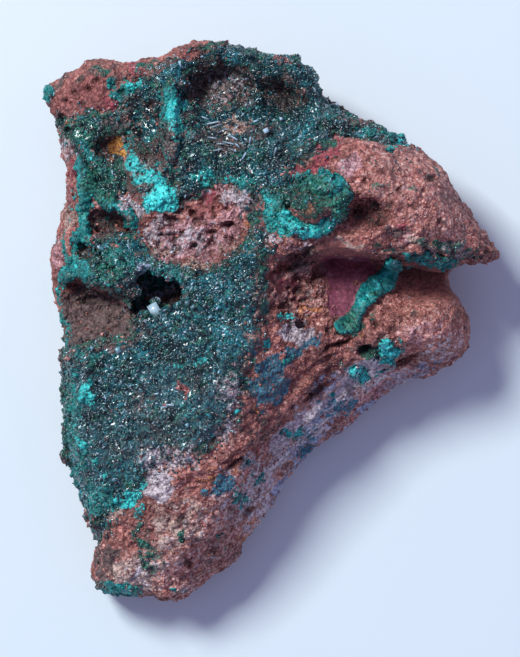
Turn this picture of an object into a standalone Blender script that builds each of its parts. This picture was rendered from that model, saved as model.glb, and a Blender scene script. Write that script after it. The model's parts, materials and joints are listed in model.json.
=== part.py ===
"""Dioptase on matrix: a broken hand specimen of rusty copper ore, with a druse of dark green
dioptase over its upper left half and crusts of blue-green chrysocolla.

The specimen lies on its broken underside, +Z up. It is modelled from a survey of its plan: plan
points are (x, y) in survey units, x to the right and y towards the viewer, and heights are in
millimetres above the surface that it rests on. LENGTH and THICKNESS set the real size.
"""

import math

import bmesh
import bpy
import numpy as np
from mathutils import Matrix, Vector, noise
from mathutils.bvhtree import BVHTree
from mathutils.geometry import delaunay_2d_cdt

MM = 0.001
LENGTH = 113.0 * MM
THICKNESS = 42.0 * MM

# The survey: how many plan units the specimen's length is, and the unit that lies on the Z axis.
PLAN_LENGTH = 565.0
PLAN_CENTRE = (269.5, 322.5)
SURVEY_THICKNESS = 42.0 * MM
SURVEY_TOP = 60.0
UNIT = LENGTH / PLAN_LENGTH
RISE = THICKNESS / SURVEY_THICKNESS

# Between a crust and the rock that it coats, then what this narrows to in a tight crease.
GAPS = [0.35 * MM, 0.12 * MM, 0.03 * MM]
VOXEL = 0.95 * MM
FINE_VOXEL = 0.6 * MM
MATRIX_TRIANGLES = 3900
DRUSE_TRIANGLES = 840
TIP_FACE = 0.8 * MM * MM
FOOT_FALL = 0.125  # how fast a crust's foot falls towards the viewer
BATCH = 8000  # points measured at a time
TINY = 1e-12
CRUST_GAP = 0.45  # between two crusts, in millimetres
EDGE_MARGIN = 0.3 * MM  # how near the crystal tips come to the edge of the druse
CRYSTAL_MARGIN = 2.6 * MM  # and to its large crystals

# The widest contour of the rock, clockwise from its left tip, in plan units.
OUTLINE = [
    (37, 91), (44, 81), (58, 81), (66, 72), (80, 68), (92, 62), (101, 60), (112, 63),
    (127, 64), (148, 60), (165, 59), (173, 50), (187, 43), (200, 43), (213, 39), (224, 44),
    (232, 41), (246, 50), (262, 56), (280, 59), (294, 59), (305, 69), (319, 82), (325, 93),
    (338, 105), (350, 116), (364, 122), (384, 130), (399, 134), (408, 146), (422, 150),
    (432, 158), (446, 174), (458, 195), (470, 208), (482, 229), (490, 241), (501, 250),
    (499, 260), (486, 260), (474, 266), (463, 264), (449, 271), (453, 284), (460, 299),
    (470, 310), (472, 327), (472, 343), (466, 358), (446, 367), (426, 376), (405, 381),
    (391, 394), (377, 405), (358, 418), (344, 434), (324, 447), (313, 460), (293, 475),
    (280, 489), (276, 504), (262, 519), (250, 538), (242, 552), (237, 566), (220, 578),
    (204, 585), (190, 600), (174, 604), (158, 604), (148, 598), (130, 599), (108, 600),
    (97, 597), (88, 585), (87, 565), (94, 550), (87, 535), (81, 518), (78, 501), (70, 480),
    (62, 460), (63, 438), (61, 418), (65, 407), (57, 389), (60, 379), (56, 360), (65, 353),
    (65, 334), (59, 311), (53, 287), (48, 262), (49, 249), (56, 234), (60, 214), (68, 199),
    (67, 178), (60, 155), (58, 134), (50, 113), (44, 100),
]

# Stations round the rim: plan x, y, the height of the widest contour, how far in the top's
# shoulder reaches and how far in the underside is cut back, in millimetres.
RIM_STATIONS = [
    (42, 92, 17, 4, 9), (75, 70, 20, 3.5, 7), (120, 63, 21, 3, 6), (175, 52, 22, 4, 7),
    (213, 40, 21, 5, 8), (260, 56, 21, 5, 7), (300, 65, 20, 5, 8), (330, 98, 20, 5, 7),
    (372, 126, 21, 5, 8), (410, 146, 20, 6, 8), (440, 168, 19, 7, 9), (465, 202, 18, 8, 9),
    (490, 240, 18, 7, 12), (498, 254, 18, 4, 16), (472, 266, 18, 3, 14), (449, 272, 14, 4, 8),
    (462, 305, 13, 7, 8), (470, 335, 12, 8, 7), (450, 365, 10, 8, 8), (405, 380, 8, 14, 6),
    (358, 419, 6, 17, 5), (310, 457, 6, 17, 5), (277, 500, 7, 14, 6), (245, 545, 8, 10, 7),
    (205, 585, 8, 7, 7), (165, 604, 9, 5, 6), (110, 600, 9, 5, 6), (90, 565, 10, 4, 6),
    (85, 530, 12, 4, 5), (66, 470, 13, 5, 5), (60, 400, 14, 4, 6), (62, 345, 15, 3, 6),
    (52, 285, 15, 3, 5), (50, 250, 14, 4, 5), (64, 205, 15, 4, 5), (64, 165, 16, 3.5, 7),
    (54, 120, 17, 3.5, 9),
]

# Spot heights of the upper face: plan x, y and height in millimetres.
SPOT_HEIGHTS = [
    (58, 94, 24), (78, 84, 27), (100, 74, 28), (128, 72, 28.5), (84, 108, 28), (112, 104, 29),
    (152, 68, 31), (182, 56, 32), (212, 50, 33), (244, 58, 33), (276, 66, 33), (300, 80, 33),
    (322, 100, 32), (345, 122, 32), (385, 138, 31), (75, 132, 27), (104, 128, 29),
    (130, 116, 28), (150, 94, 29), (150, 140, 28), (172, 92, 34), (177, 130, 35),
    (170, 165, 34), (198, 92, 27), (228, 95, 25), (262, 92, 25), (292, 100, 26),
    (306, 112, 28), (215, 116, 29), (212, 138, 32), (252, 132, 32), (292, 138, 32),
    (322, 130, 31), (202, 165, 33), (250, 162, 34), (288, 165, 35), (156, 225, 32),
    (192, 215, 33), (228, 200, 35), (200, 245, 33), (236, 240, 35), (90, 170, 29),
    (74, 205, 26), (112, 192, 30), (142, 196, 32), (70, 245, 25), (104, 242, 29),
    (62, 268, 23), (122, 255, 31), (105, 276, 30), (150, 262, 33), (200, 275, 35),
    (240, 280, 37), (264, 268, 38), (70, 352, 25), (100, 350, 27), (140, 340, 30),
    (180, 330, 33), (220, 330, 35), (255, 330, 37), (65, 390, 23), (92, 400, 26),
    (130, 400, 29), (170, 400, 31), (210, 400, 33), (240, 396, 34), (70, 440, 21),
    (100, 450, 25), (140, 450, 28), (180, 450, 30), (214, 448, 30), (85, 490, 19),
    (120, 500, 23), (160, 500, 26), (200, 490, 27), (230, 468, 28), (100, 530, 18),
    (140, 540, 22), (180, 540, 24), (220, 520, 23), (112, 574, 16), (150, 570, 19),
    (182, 578, 18), (210, 560, 18), (240, 530, 16), (340, 150, 38), (380, 152, 36),
    (414, 165, 33), (350, 190, 41), (390, 190, 40), (430, 196, 36), (458, 216, 32),
    (362, 226, 40), (400, 232, 38), (440, 238, 34), (474, 246, 29), (300, 190, 37),
    (318, 214, 38), (300, 234, 38), (332, 240, 38), (280, 280, 36), (310, 282, 33),
    (300, 310, 31), (270, 330, 34), (310, 345, 30), (280, 370, 31), (340, 350, 28),
    (330, 380, 25), (290, 410, 26), (260, 430, 27), (310, 430, 19), (350, 400, 19),
    (380, 370, 22), (270, 470, 20), (250, 490, 20), (298, 455, 12), (340, 425, 12),
    (280, 485, 12), (382, 388, 13), (380, 312, 27), (420, 312, 27), (450, 312, 25),
    (400, 340, 27), (440, 345, 25), (458, 340, 22), (420, 364, 20),
]

# Hollows broken into the upper face: a plan polygon, floor spots (x, y, height) and how wide the
# wall is, in millimetres.
LEDGE_RECESS = {
    "edge": [
        (318, 256), (345, 254), (368, 257), (392, 263), (412, 263), (430, 269), (452, 268),
        (462, 276), (460, 296), (440, 306), (408, 312), (384, 318), (366, 330), (348, 338),
        (332, 330), (326, 306), (316, 280),
    ],
    "floor": [
        (332, 266, 23), (350, 258, 22), (350, 300, 25), (372, 270, 21.5), (398, 270, 18),
        (346, 328, 27), (380, 300, 23.5), (410, 276, 17), (440, 278, 16), (452, 290, 17),
        (400, 300, 21), (430, 300, 21), (366, 322, 27),
    ],
    "wall": 1.3,
}
LEFT_VUG = {
    "edge": [
        (64, 290), (74, 280), (92, 288), (112, 292), (128, 302), (132, 322), (122, 334),
        (100, 336), (84, 344), (72, 338), (66, 318),
    ],
    "floor": [(70, 294, 19), (96, 300, 20), (124, 310, 22), (76, 334, 22), (104, 330, 23)],
    "wall": 1.2,
}
UPPER_BOWL = {
    "edge": [
        (188, 78), (210, 66), (238, 64), (268, 70), (300, 82), (318, 104), (306, 120),
        (282, 112), (252, 116), (226, 112), (200, 118), (186, 104),
    ],
    "floor": [(200, 90, 24), (230, 84, 23), (262, 84, 22), (296, 96, 22), (304, 112, 25),
              (240, 108, 26), (205, 108, 27)],
    "wall": 2.4,
}
PINK_WINDOW = {
    "edge": [
        (150, 216), (168, 212), (190, 204), (206, 190), (224, 186), (240, 204), (250, 222),
        (242, 244), (222, 258), (206, 268), (184, 262), (162, 256), (148, 244), (142, 230),
    ],
    "floor": [(160, 226, 30.6), (190, 215, 31.4), (224, 200, 33.4), (200, 250, 31.4),
              (236, 236, 33.6)],
    "wall": 1.0,
}
POROUS_HOLLOW = {
    "edge": [
        (268, 262), (284, 254), (304, 256), (322, 264), (328, 284), (330, 306), (322, 324),
        (304, 330), (290, 338), (280, 326), (274, 304), (272, 282),
    ],
    "floor": [(280, 270, 32), (300, 266, 30), (318, 280, 28), (312, 308, 28.5), (288, 318, 31),
              (290, 292, 31)],
    "wall": 1.6,
}
BREAK_BY_KNOB = {
    "edge": [
        (346, 204), (362, 200), (382, 206), (398, 216), (396, 226), (378, 228), (360, 234),
        (346, 242), (334, 240), (344, 224),
    ],
    "floor": [(352, 212, 36), (378, 214, 37), (392, 220, 37.5), (360, 228, 36), (344, 236, 35)],
    "wall": 1.2,
}
HOLLOWS = [LEDGE_RECESS, LEFT_VUG, UPPER_BOWL, PINK_WINDOW, POROUS_HOLLOW, BREAK_BY_KNOB]

# Caves, crevices and pits: plan centre, height, half sizes along, across and up in millimetres,
# the plan angle of the long side and how far the hole leans under its far wall, in degrees.
PITS = [
    (163, 284, 27, 4.6, 3.5, 11, 0, 14),      # black cave at the middle
    (150, 300, 28, 3.4, 2.2, 7, 20, 10),
    (345, 259, 24, 5.5, 2.6, 3.2, 0, 0),      # under the ledge, from left to right
    (378, 263, 22.5, 5.5, 2.4, 3.0, -12, 0),
    (411, 267, 19.5, 5.5, 2.6, 3.2, 0, 0),
    (442, 271, 18, 5.0, 2.2, 3.2, -8, 0),
    (87, 252, 24, 2.0, 1.9, 7, 20, 12),       # three-cornered hole in the left wall
    (112, 222, 28, 4.6, 1.5, 5, -4, 22),      # crevice above it
    (93, 207, 27, 1.0, 2.0, 4, 0, 10),
    (114, 148, 29, 2.2, 2.7, 4.5, 10, 8),     # rust-yellow hole
    (100, 152, 29, 2.4, 1.5, 3.5, 30, 8),
    (76, 290, 23, 3.2, 1.5, 5, 15, 18),       # under the left vug's upper wall
    (192, 212, 33, 0.9, 0.8, 3, 0, 0),        # pits in the pink window
    (172, 219, 32, 1.5, 0.9, 3, -10, 0),
    (226, 228, 34.5, 1.7, 0.9, 3, -20, 0),
    (196, 246, 32.5, 0.8, 0.7, 2.5, 0, 0),
    (303, 318, 31, 2.4, 1.4, 4, -10, 10),     # dark hollow in the porous rock
    (292, 262, 35, 3.2, 1.6, 5, 40, 12),
    (322, 272, 30, 2.6, 2.6, 5, 0, 8),
    (372, 208, 40, 3.6, 1.6, 2.2, 10, 0),     # break behind the green knob
    (346, 222, 39, 1.8, 1.6, 3, 0, 0),
    (368, 346, 25.5, 1.8, 1.2, 3.4, -30, 10),
    (398, 360, 22.5, 3.4, 0.7, 3.5, -28, 0),  # crevices of the lower right flank
    (336, 438, 8, 2.6, 0.9, 2.5, -22, 0),
    (280, 350, 33, 3.0, 0.8, 3, -35, 0),
    (200, 592, 12, 3, 1.2, 3, -30, 0),
]

# The plan outline of the dioptase druse and how far down the sides it reaches, in millimetres.
DRUSE_FOOT = 15.0
DRUSE_EDGE = [
    (60, 114), (68, 122), (84, 119), (104, 116), (120, 112), (130, 96), (146, 78), (166, 70),
    (190, 60), (208, 56), (216, 50), (222, 32), (250, 42), (290, 48), (312, 62), (330, 84),
    (352, 106), (384, 120), (410, 130), (406, 144), (390, 146), (368, 141), (346, 138),
    (332, 134), (326, 150), (304, 162), (288, 172), (296, 178), (292, 186),
    (280, 200), (262, 196), (250, 204), (256, 224), (266, 236), (260, 262), (262, 300),
    (252, 350), (240, 396), (222, 430), (206, 446), (186, 456), (160, 462), (146, 474),
    (138, 492), (120, 502), (106, 514), (100, 536), (92, 546), (80, 540), (70, 512),
    (60, 484), (52, 462), (52, 420), (48, 390), (48, 356), (66, 350), (88, 350), (104, 342),
    (128, 340),
    (138, 326), (134, 300), (112, 288), (98, 282), (100, 262), (104, 240), (128, 236),
    (138, 240), (146, 256), (164, 262), (188, 270), (210, 272), (226, 264), (248, 248),
    (256, 232), (244, 204), (232, 184), (212, 182), (196, 196), (180, 202), (176, 194),
    (180, 168), (184, 140), (182, 112), (178, 92), (168, 86), (162, 100), (160, 130),
    (158, 150), (146, 152), (132, 146), (128, 134), (112, 132), (100, 138), (96, 150),
    (100, 164), (120, 176), (126, 190), (118, 196), (104, 186), (92, 164), (80, 150),
    (70, 144), (58, 128),
]
CAVE_MOUTH = [(142, 274), (160, 264), (178, 276), (186, 296), (172, 308), (150, 308), (138, 296)]

# Chrysocolla crusts: plan outline, how far down each reaches, thickness and height of its lumps
# in millimetres, and a number of facets.
CHRYSOCOLLA = {
    "chrysocolla_vein": {
        "edge": [
            (392, 263), (399, 268), (398, 278), (392, 288), (378, 296), (369, 302), (363, 312),
            (358, 324), (352, 334), (342, 334), (336, 322), (347, 316), (354, 304), (360, 286),
            (370, 278), (381, 272),
        ],
        "foot": 14, "thickness": 2.2, "lumps": 0.5, "triangles": 150,
    },
    "chrysocolla_ledge": {
        "edge": [
            (400, 257), (412, 256), (424, 257), (434, 261), (446, 259), (456, 256), (452, 266),
            (438, 271), (428, 266), (414, 262), (402, 262),
        ],
        "foot": 20, "thickness": 1.5, "lumps": 0.4, "triangles": 90,
    },
    "chrysocolla_knob": {
        "edge": [
            (298, 178), (316, 174), (332, 178), (342, 190), (347, 206), (340, 222), (330, 234),
            (316, 242), (298, 238), (282, 230), (272, 214), (280, 206), (288, 214), (304, 220),
            (322, 218), (330, 206), (318, 196), (300, 192),
        ],
        "foot": 25, "thickness": 2.8, "lumps": 0.9, "triangles": 200,
    },
    "chrysocolla_bloom": {
        "edge": [
            (134, 154), (144, 158), (156, 160), (170, 170), (173, 184), (172, 198), (160, 214),
            (148, 210), (142, 196), (132, 188), (132, 170),
        ],
        "foot": 20, "thickness": 1.5, "lumps": 0.5, "triangles": 160,
    },
    "chrysocolla_ridge": {
        "edge": [
            (168, 90), (177, 96), (179, 114), (180, 140), (177, 164), (170, 160), (163, 154),
            (164, 128), (166, 104),
        ],
        "foot": 20, "thickness": 1.9, "lumps": 0.7, "triangles": 130,
    },
    "chrysocolla_wall": {
        "edge": [
            (80, 156), (88, 168), (102, 190), (118, 200), (132, 210), (142, 222), (138, 232),
            (126, 230), (120, 214), (102, 212), (97, 198), (89, 200), (90, 216), (90, 236),
            (98, 240), (98, 258), (92, 282), (78, 278), (66, 284), (56, 278), (60, 266),
            (70, 262), (74, 248), (68, 238), (80, 232), (82, 206), (80, 184), (76, 170),
        ],
        "foot": 13, "thickness": 1.4, "lumps": 0.4, "triangles": 200,
    },
    "chrysocolla_flank_lump": {
        "edge": [
            (376, 344), (386, 340), (395, 346), (396, 358), (388, 364), (380, 358),
        ],
        "foot": 16, "thickness": 1.5, "lumps": 0.5, "triangles": 60,
    },
    "chrysocolla_flank_spot": {
        "edge": [(350, 372), (358, 366), (368, 372), (366, 381), (354, 382)],
        "foot": 16, "thickness": 1.3, "lumps": 0.4, "triangles": 50,
    },
    "chrysocolla_foot": {
        "edge": [
            (96, 584), (108, 580), (128, 586), (144, 592), (146, 600), (100, 602), (92, 594),
        ],
        "foot": 4, "thickness": 1.2, "lumps": 0.4, "triangles": 80,
    },
    "chrysocolla_tip": {
        "edge": [(38, 84), (52, 80), (56, 90), (52, 104), (44, 106), (38, 96)],
        "foot": 19, "thickness": 1.1, "lumps": 0.3, "triangles": 50,
    },
}

# The druse's largest crystals: plan x, y, width and length in millimetres, how far each leans
# from upright and the bearing that it leans to from +X, in degrees.
LARGE_CRYSTALS = [
    (156, 312, 2.3, 3.4, 66, 100), (168, 311, 1.5, 2.6, 38, 60), (146, 314, 1.7, 2.8, 44, 150),
    (184, 300, 1.5, 2.6, 40, 20), (137, 290, 1.3, 2.2, 40, 180), (212, 122, 0.9, 3.8, 72, 24),
    (222, 132, 0.9, 3.6, 76, 40), (266, 130, 1.3, 2.0, 30, 70),
]


def plan(x, y):
    """A plan point in metres."""
    return ((x - PLAN_CENTRE[0]) * UNIT, (PLAN_CENTRE[1] - y) * UNIT)


def plan_path(points):
    return np.array([plan(*point[:2]) for point in points])


def height(z):
    return z * MM * RISE


def lumps(point, size, octaves=3, seed=0.0):
    """Fractal noise from -1 to 1 or so, with lumps of this size."""
    return noise.fractal(Vector(point) / size + Vector((seed, 1.7 * seed, -seed)), 1.0, 2.1, octaves)


def chips(point, size, seed=0.0):
    """Distance to the nearest cell centre, about 0 to 1: flat chips that meet in sharp edges."""
    return noise.voronoi(Vector(point) / size + Vector((seed, seed, seed)))[0][0]


def thin_plate(spots):
    """A smooth surface through spots (x, y, height), as a function of an array of points."""
    at = plan_path(spots)
    heights = np.array([height(spot[2]) for spot in spots])

    def kernel(points):
        squares = ((points[:, None, :] - at[None, :, :]) ** 2).sum(-1) / LENGTH**2
        return 0.5 * squares * np.log(squares + 1e-12)

    def plane(points):
        return np.hstack([np.ones((len(points), 1)), points / LENGTH])

    count = len(at)
    system = np.zeros((count + 3, count + 3))
    system[:count, :count] = kernel(at) + 1e-4 * np.eye(count)
    system[:count, count:] = plane(at)
    system[count:, :count] = plane(at).T
    weights = np.linalg.solve(system, np.concatenate([heights, np.zeros(3)]))
    return lambda points: kernel(points) @ weights[:count] + plane(points) @ weights[count:]


def edge_distance(points, path):
    """Distance from each point to a closed path, positive inside it."""
    if len(points) > BATCH:
        halves = points[:BATCH], points[BATCH:]
        return np.concatenate([edge_distance(half, path) for half in halves])
    start, side = path, np.roll(path, -1, axis=0) - path
    reach = points[:, None, :] - start
    along = np.clip((reach * side).sum(-1) / (side**2).sum(-1), 0, 1)
    nearest = np.linalg.norm(reach - along[..., None] * side, axis=-1).min(axis=1)
    x, y = points[:, 0, None], points[:, 1, None]
    spans = (start[:, 1] > y) != (start[:, 1] + side[:, 1] > y)
    rise = np.where(side[:, 1] == 0, TINY, side[:, 1])
    crossings = spans & (x < start[:, 0] + side[:, 0] * (y - start[:, 1]) / rise)
    return np.where(crossings.sum(axis=1) % 2 == 1, nearest, -nearest)


def smooth_step(value, low, high):
    share = np.clip((value - low) / (high - low), 0, 1)
    return share * share * (3 - 2 * share)


def rim_values(points):
    """The edge height, shoulder and undercut at each point, from the nearest rim stations."""
    stations = plan_path(RIM_STATIONS)
    values = np.array([station[2:] for station in RIM_STATIONS]) * MM
    values[:, 0] *= RISE
    nearness = 1 / (((points[:, None, :] - stations) ** 2).sum(-1) + (2 * MM) ** 2) ** 1.5
    return (nearness @ values) / nearness.sum(axis=1, keepdims=True)


def top_heights(points, depth):
    """Height of the upper face: the spot heights, hollows sunk in, and the shoulder at the rim."""
    upper = thin_plate(SPOT_HEIGHTS)(points)
    for hollow in HOLLOWS:
        inside = edge_distance(points, plan_path(hollow["edge"]))
        floor = np.minimum(thin_plate(hollow["floor"])(points), upper)
        share = smooth_step(inside, -0.3 * hollow["wall"] * MM, hollow["wall"] * MM)
        upper = upper + (floor - upper) * share
    edge, shoulder, _ = rim_values(points).T
    share = np.clip(depth / shoulder, 0, 1)
    rise = np.sqrt(1 - (1 - share) ** 2)
    return edge + (np.maximum(upper, edge + height(2)) - edge) * rise


def under_heights(points, depth):
    """Height of the underside, which touches down in a few broad patches."""
    edge, _, undercut = rim_values(points).T
    share = np.clip(depth / undercut, 0, 1)
    swell = np.array([lumps((x, y, 0), 24 * MM, 2, 3.1) for x, y in points]) * 2.6 * MM
    curve = 1 - np.sqrt(1 - (1 - share) ** 2)
    return edge * curve + (swell + 0.1 * MM) * share


def new_object(name, mesh):
    made = bpy.data.objects.new(name, mesh)
    bpy.context.scene.collection.objects.link(made)
    return made


def mesh_object(name, shape):
    """An object from a bmesh, which is freed."""
    mesh = bpy.data.meshes.new(name)
    shape.to_mesh(mesh)
    shape.free()
    return new_object(name, mesh)


def settle(obj):
    """Applies an object's modifiers."""
    graph = bpy.context.evaluated_depsgraph_get()
    mesh = bpy.data.meshes.new_from_object(obj.evaluated_get(graph), depsgraph=graph)
    obj.modifiers.clear()
    old = obj.data
    obj.data = mesh
    bpy.data.meshes.remove(old)
    return obj


def drop(*objects):
    for obj in objects:
        bpy.data.objects.remove(obj)


def boolean(obj, other, operation):
    cut = obj.modifiers.new(operation.lower(), "BOOLEAN")
    cut.operation, cut.object, cut.solver = operation, other, "EXACT"
    return settle(obj)


def remesh(obj, voxel=VOXEL):
    even = obj.modifiers.new("even", "REMESH")
    even.mode, even.voxel_size = "VOXEL", voxel
    return settle(obj)


def thin_out(obj, triangles):
    """Brings an object down to about this many triangles, which keep to its main forms."""
    obj.data.calc_loop_triangles()
    fewer = obj.modifiers.new("fewer", "DECIMATE")
    fewer.ratio = min(1.0, triangles / len(obj.data.loop_triangles))
    fewer.use_collapse_triangulate = True
    return settle(obj)


def grown(edge, margin):
    """A plan outline with each corner moved outwards by this many millimetres."""
    path = np.array(edge, float)
    after, before = np.roll(path, -1, axis=0), np.roll(path, 1, axis=0)
    side = after - before
    outward = np.stack([side[:, 1], -side[:, 0]], axis=1)
    outward /= np.linalg.norm(outward, axis=1, keepdims=True)
    turning = (path[:, 0] * after[:, 1] - after[:, 0] * path[:, 1]).sum()
    return path + outward * margin * MM / UNIT * (1 if turning > 0 else -1)


def push_out(obj, amount):
    """Moves each point along its normal by amount(point, normal)."""
    mesh = obj.data
    normals = [vertex.normal.copy() for vertex in mesh.vertices]
    for vertex, normal in zip(mesh.vertices, normals, strict=True):
        vertex.co += normal * amount(vertex.co, normal)
    mesh.update()
    return obj


def copy_of(obj, name):
    return new_object(name, obj.data.copy())


def swollen(obj, amount):
    return push_out(copy_of(obj, "skin"), lambda p, n: amount)


def largest_piece(obj):
    """Keeps the biggest of an object's separate shells."""
    shape = bmesh.new()
    shape.from_mesh(obj.data)
    unseen, shells = set(shape.verts), []
    while unseen:
        shell, todo = set(), [unseen.pop()]
        while todo:
            vertex = todo.pop()
            shell.add(vertex)
            for edge in vertex.link_edges:
                other = edge.other_vert(vertex)
                if other in unseen:
                    unseen.discard(other)
                    todo.append(other)
        shells.append(shell)
    keep = max(shells, key=len)
    bmesh.ops.delete(shape, geom=[v for v in shape.verts if v not in keep], context="VERTS")
    shape.to_mesh(obj.data)
    shape.free()
    return obj


def rock_blank():
    """The rock before weathering: an upper and an under face that share the rim."""
    rim = plan_path(OUTLINE)
    step = 1.5 * MM
    low, high = rim.min(axis=0), rim.max(axis=0)
    spread = np.random.default_rng(7)
    grid = np.array([
        (x + (step / 2 if row % 2 else 0), y)
        for row, y in enumerate(np.arange(low[1], high[1], step * 0.87))
        for x in np.arange(low[0], high[0], step)
    ])
    grid += spread.uniform(-0.15, 0.15, grid.shape) * step
    depth = edge_distance(grid, rim)
    inner = grid[depth > 0.35 * step]
    count = len(rim)
    sides = [(i, (i + 1) % count) for i in range(count)]
    points, _, faces, *_ = delaunay_2d_cdt(
        [Vector(p) for p in [*rim, *inner]], sides, [], 1, 1e-7
    )
    flat = np.array([tuple(p) for p in points])
    depth = np.maximum(edge_distance(flat, rim), 0)
    depth[:count] = 0
    top, under = top_heights(flat, depth), under_heights(flat, depth)
    shape = bmesh.new()
    upper = [shape.verts.new((x, y, z)) for (x, y), z in zip(flat, top, strict=True)]
    lower = [
        upper[i] if i < count else shape.verts.new((x, y, z))
        for i, ((x, y), z) in enumerate(zip(flat, under, strict=True))
    ]
    for face in faces:
        shape.faces.new([upper[i] for i in face])
        shape.faces.new([lower[i] for i in reversed(face)])
    bmesh.ops.recalc_face_normals(shape, faces=shape.faces)
    return mesh_object("rock_blank", shape)


def pit_cutter(x, y, z, along, across, up, turn, lean):
    """A lumpy hole, leaning under the wall on its far side."""
    shape = bmesh.new()
    bmesh.ops.create_icosphere(shape, subdivisions=3, radius=1.0)
    for vertex in shape.verts:
        vertex.co *= 1 + 0.22 * lumps(vertex.co, 0.9, 2, x * 0.37 + y * 0.11)
    place = (
        Matrix.Translation((*plan(x, y), height(z)))
        @ Matrix.Rotation(math.radians(turn), 4, "Z")
        @ Matrix.Rotation(math.radians(lean), 4, "X")
        @ Matrix.Diagonal((along * MM, across * MM, up * MM, 1))
    )
    bmesh.ops.transform(shape, matrix=place, verts=shape.verts)
    return mesh_object("pit", shape)


def weathering(point, normal):
    """How far broken faces, lumps and grains stand out, over the whole rock."""
    smooth = math.exp(-((point - Vector((*plan(352, 285), height(24)))).length / (6 * MM)) ** 2)
    side = 1 - abs(normal.z)
    facets = (0.5 - chips(point, 11 * MM, 4.0)) * (0.7 + 0.9 * side)
    coarse = lumps(point, 7 * MM, 3, 2.0) * 0.5
    fine = lumps(point, 2.6 * MM, 2, 9.0) * 0.4
    return (facets + coarse + fine) * MM * (1 - 0.85 * smooth)


def flatten_base(obj):
    """Grinds the lowest points flat, so that the rock rests on the plane z = 0."""
    shape = bmesh.new()
    bmesh.ops.create_cube(shape, size=1)
    bmesh.ops.scale(shape, vec=(2 * LENGTH, 2 * LENGTH, LENGTH), verts=shape.verts)
    bmesh.ops.translate(shape, vec=(0, 0, -LENGTH / 2), verts=shape.verts)
    table = mesh_object("table", shape)
    boolean(obj, table, "DIFFERENCE")
    drop(table)
    return largest_piece(obj)


def foot_height(y, edge, foot):
    """How low a crust reaches at this y, when its foot is at this height half-way along it."""
    return height(foot) + FOOT_FALL * (y - plan_path(edge)[:, 1].mean())


def sink(obj, edge, foot, on_top, on_sides):
    """Lowers the rock under a crust, so that the crust stands only a little proud of it."""
    mesh = obj.data
    places = np.array([tuple(vertex.co) for vertex in mesh.vertices])
    steep = 1 - np.abs([vertex.normal.z for vertex in mesh.vertices])
    above = places[:, 2] - foot_height(places[:, 1], edge, foot)
    share = smooth_step(edge_distance(places[:, :2], plan_path(edge)), -0.8 * MM, 0.8 * MM)
    share *= smooth_step(above, -0.5 * MM, 1.5 * MM)
    depth = share * (on_top + (on_sides - on_top) * steep) * MM
    normals = [vertex.normal.copy() for vertex in mesh.vertices]
    for vertex, normal, amount in zip(mesh.vertices, normals, depth, strict=True):
        vertex.co -= normal * float(amount)
    mesh.update()


def build_rock():
    """The weathered rock at full detail."""
    rock = remesh(rock_blank())
    for pit in PITS:
        cutter = pit_cutter(*pit)
        boolean(rock, cutter, "DIFFERENCE")
        drop(cutter)
    remesh(rock)
    push_out(rock, weathering)
    sink(rock, DRUSE_EDGE, DRUSE_FOOT, 0.9, 3.0)
    for facts in CHRYSOCOLLA.values():
        share = 0.6 * facts["thickness"]
        sink(rock, facts["edge"], facts["foot"], share, share)
    return largest_piece(remesh(rock))


def prism(edge, foot, top, holes=()):
    """An upright block on a plan outline, less the blocks on the outlines in holes."""
    shape = bmesh.new()
    shape.faces.new([
        shape.verts.new((x, y, foot_height(y, edge, foot))) for x, y in plan_path(edge)
    ])
    raised = bmesh.ops.extrude_face_region(shape, geom=shape.faces[:])
    for item in raised["geom"]:
        if isinstance(item, bmesh.types.BMVert):
            item.co.z = height(top)
    bmesh.ops.triangulate(shape, faces=shape.faces)
    bmesh.ops.recalc_face_normals(shape, faces=shape.faces)
    block = mesh_object("block", shape)
    for hole in holes:
        cutter = prism(hole, foot - 9, top + 1)
        boolean(block, cutter, "DIFFERENCE")
        drop(cutter)
    return block


def coat(name, rock, edge, foot, swell, triangles, holes=()):
    """The rock swollen by swell(point, normal), cut down to what lies inside a plan outline and
    above the height of its foot."""
    fat = remesh(push_out(copy_of(rock, name), swell))
    block = prism(edge, foot, SURVEY_TOP, holes)
    boolean(fat, block, "INTERSECT")
    drop(block)
    return thin_out(remesh(fat, FINE_VOXEL), triangles)


def lift_off(obj, skins):
    """Cuts the swollen rock out of a crust, so that the crust keeps clear of the rock all over."""
    for skin in skins:
        boolean(obj, skin, "DIFFERENCE")
    return largest_piece(obj)


def crust(name, rock, skins, edge, foot, thickness, lumpiness, triangles):
    """A lumpy crust inside a plan outline."""
    made = coat(
        name, rock, edge, foot,
        lambda p, n: (thickness + lumpiness * lumps(p, 2.4 * MM, 2, 5.0)) * MM, triangles,
    )
    return lift_off(made, skins)


def crystal(x, y, wide, long, lean, bearing, surface):
    """A six-sided prism with a three-faced tip, its foot sunk in the surface below it."""
    shape = bmesh.new()
    bmesh.ops.create_cone(
        shape, segments=6, cap_ends=True, cap_tris=False,
        radius1=wide * MM / 2, radius2=wide * MM / 2, depth=long * MM,
    )
    top = max(shape.faces, key=lambda face: face.calc_center_median().z)
    tip = bmesh.ops.poke(shape, faces=[top])["verts"][0]
    tip.co.z += 0.32 * wide * MM
    rim = sorted((edge.other_vert(tip) for edge in tip.link_edges),
                 key=lambda vertex: math.atan2(vertex.co.y, vertex.co.x))
    for vertex in rim[::2]:
        vertex.co.z -= 0.22 * wide * MM
    spot = Vector((*plan(x, y), height(SURVEY_TOP)))
    foot = surface.ray_cast(spot, Vector((0, 0, -1)))[0]
    place = (
        Matrix.Translation(foot)
        @ Matrix.Rotation(math.radians(bearing), 4, "Z")
        @ Matrix.Rotation(math.radians(lean), 4, "Y")
        @ Matrix.Translation((0, 0, 0.3 * long * MM))
    )
    bmesh.ops.transform(shape, matrix=place, verts=shape.verts)
    bmesh.ops.triangulate(shape, faces=shape.faces)
    return mesh_object("crystal", shape)


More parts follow.
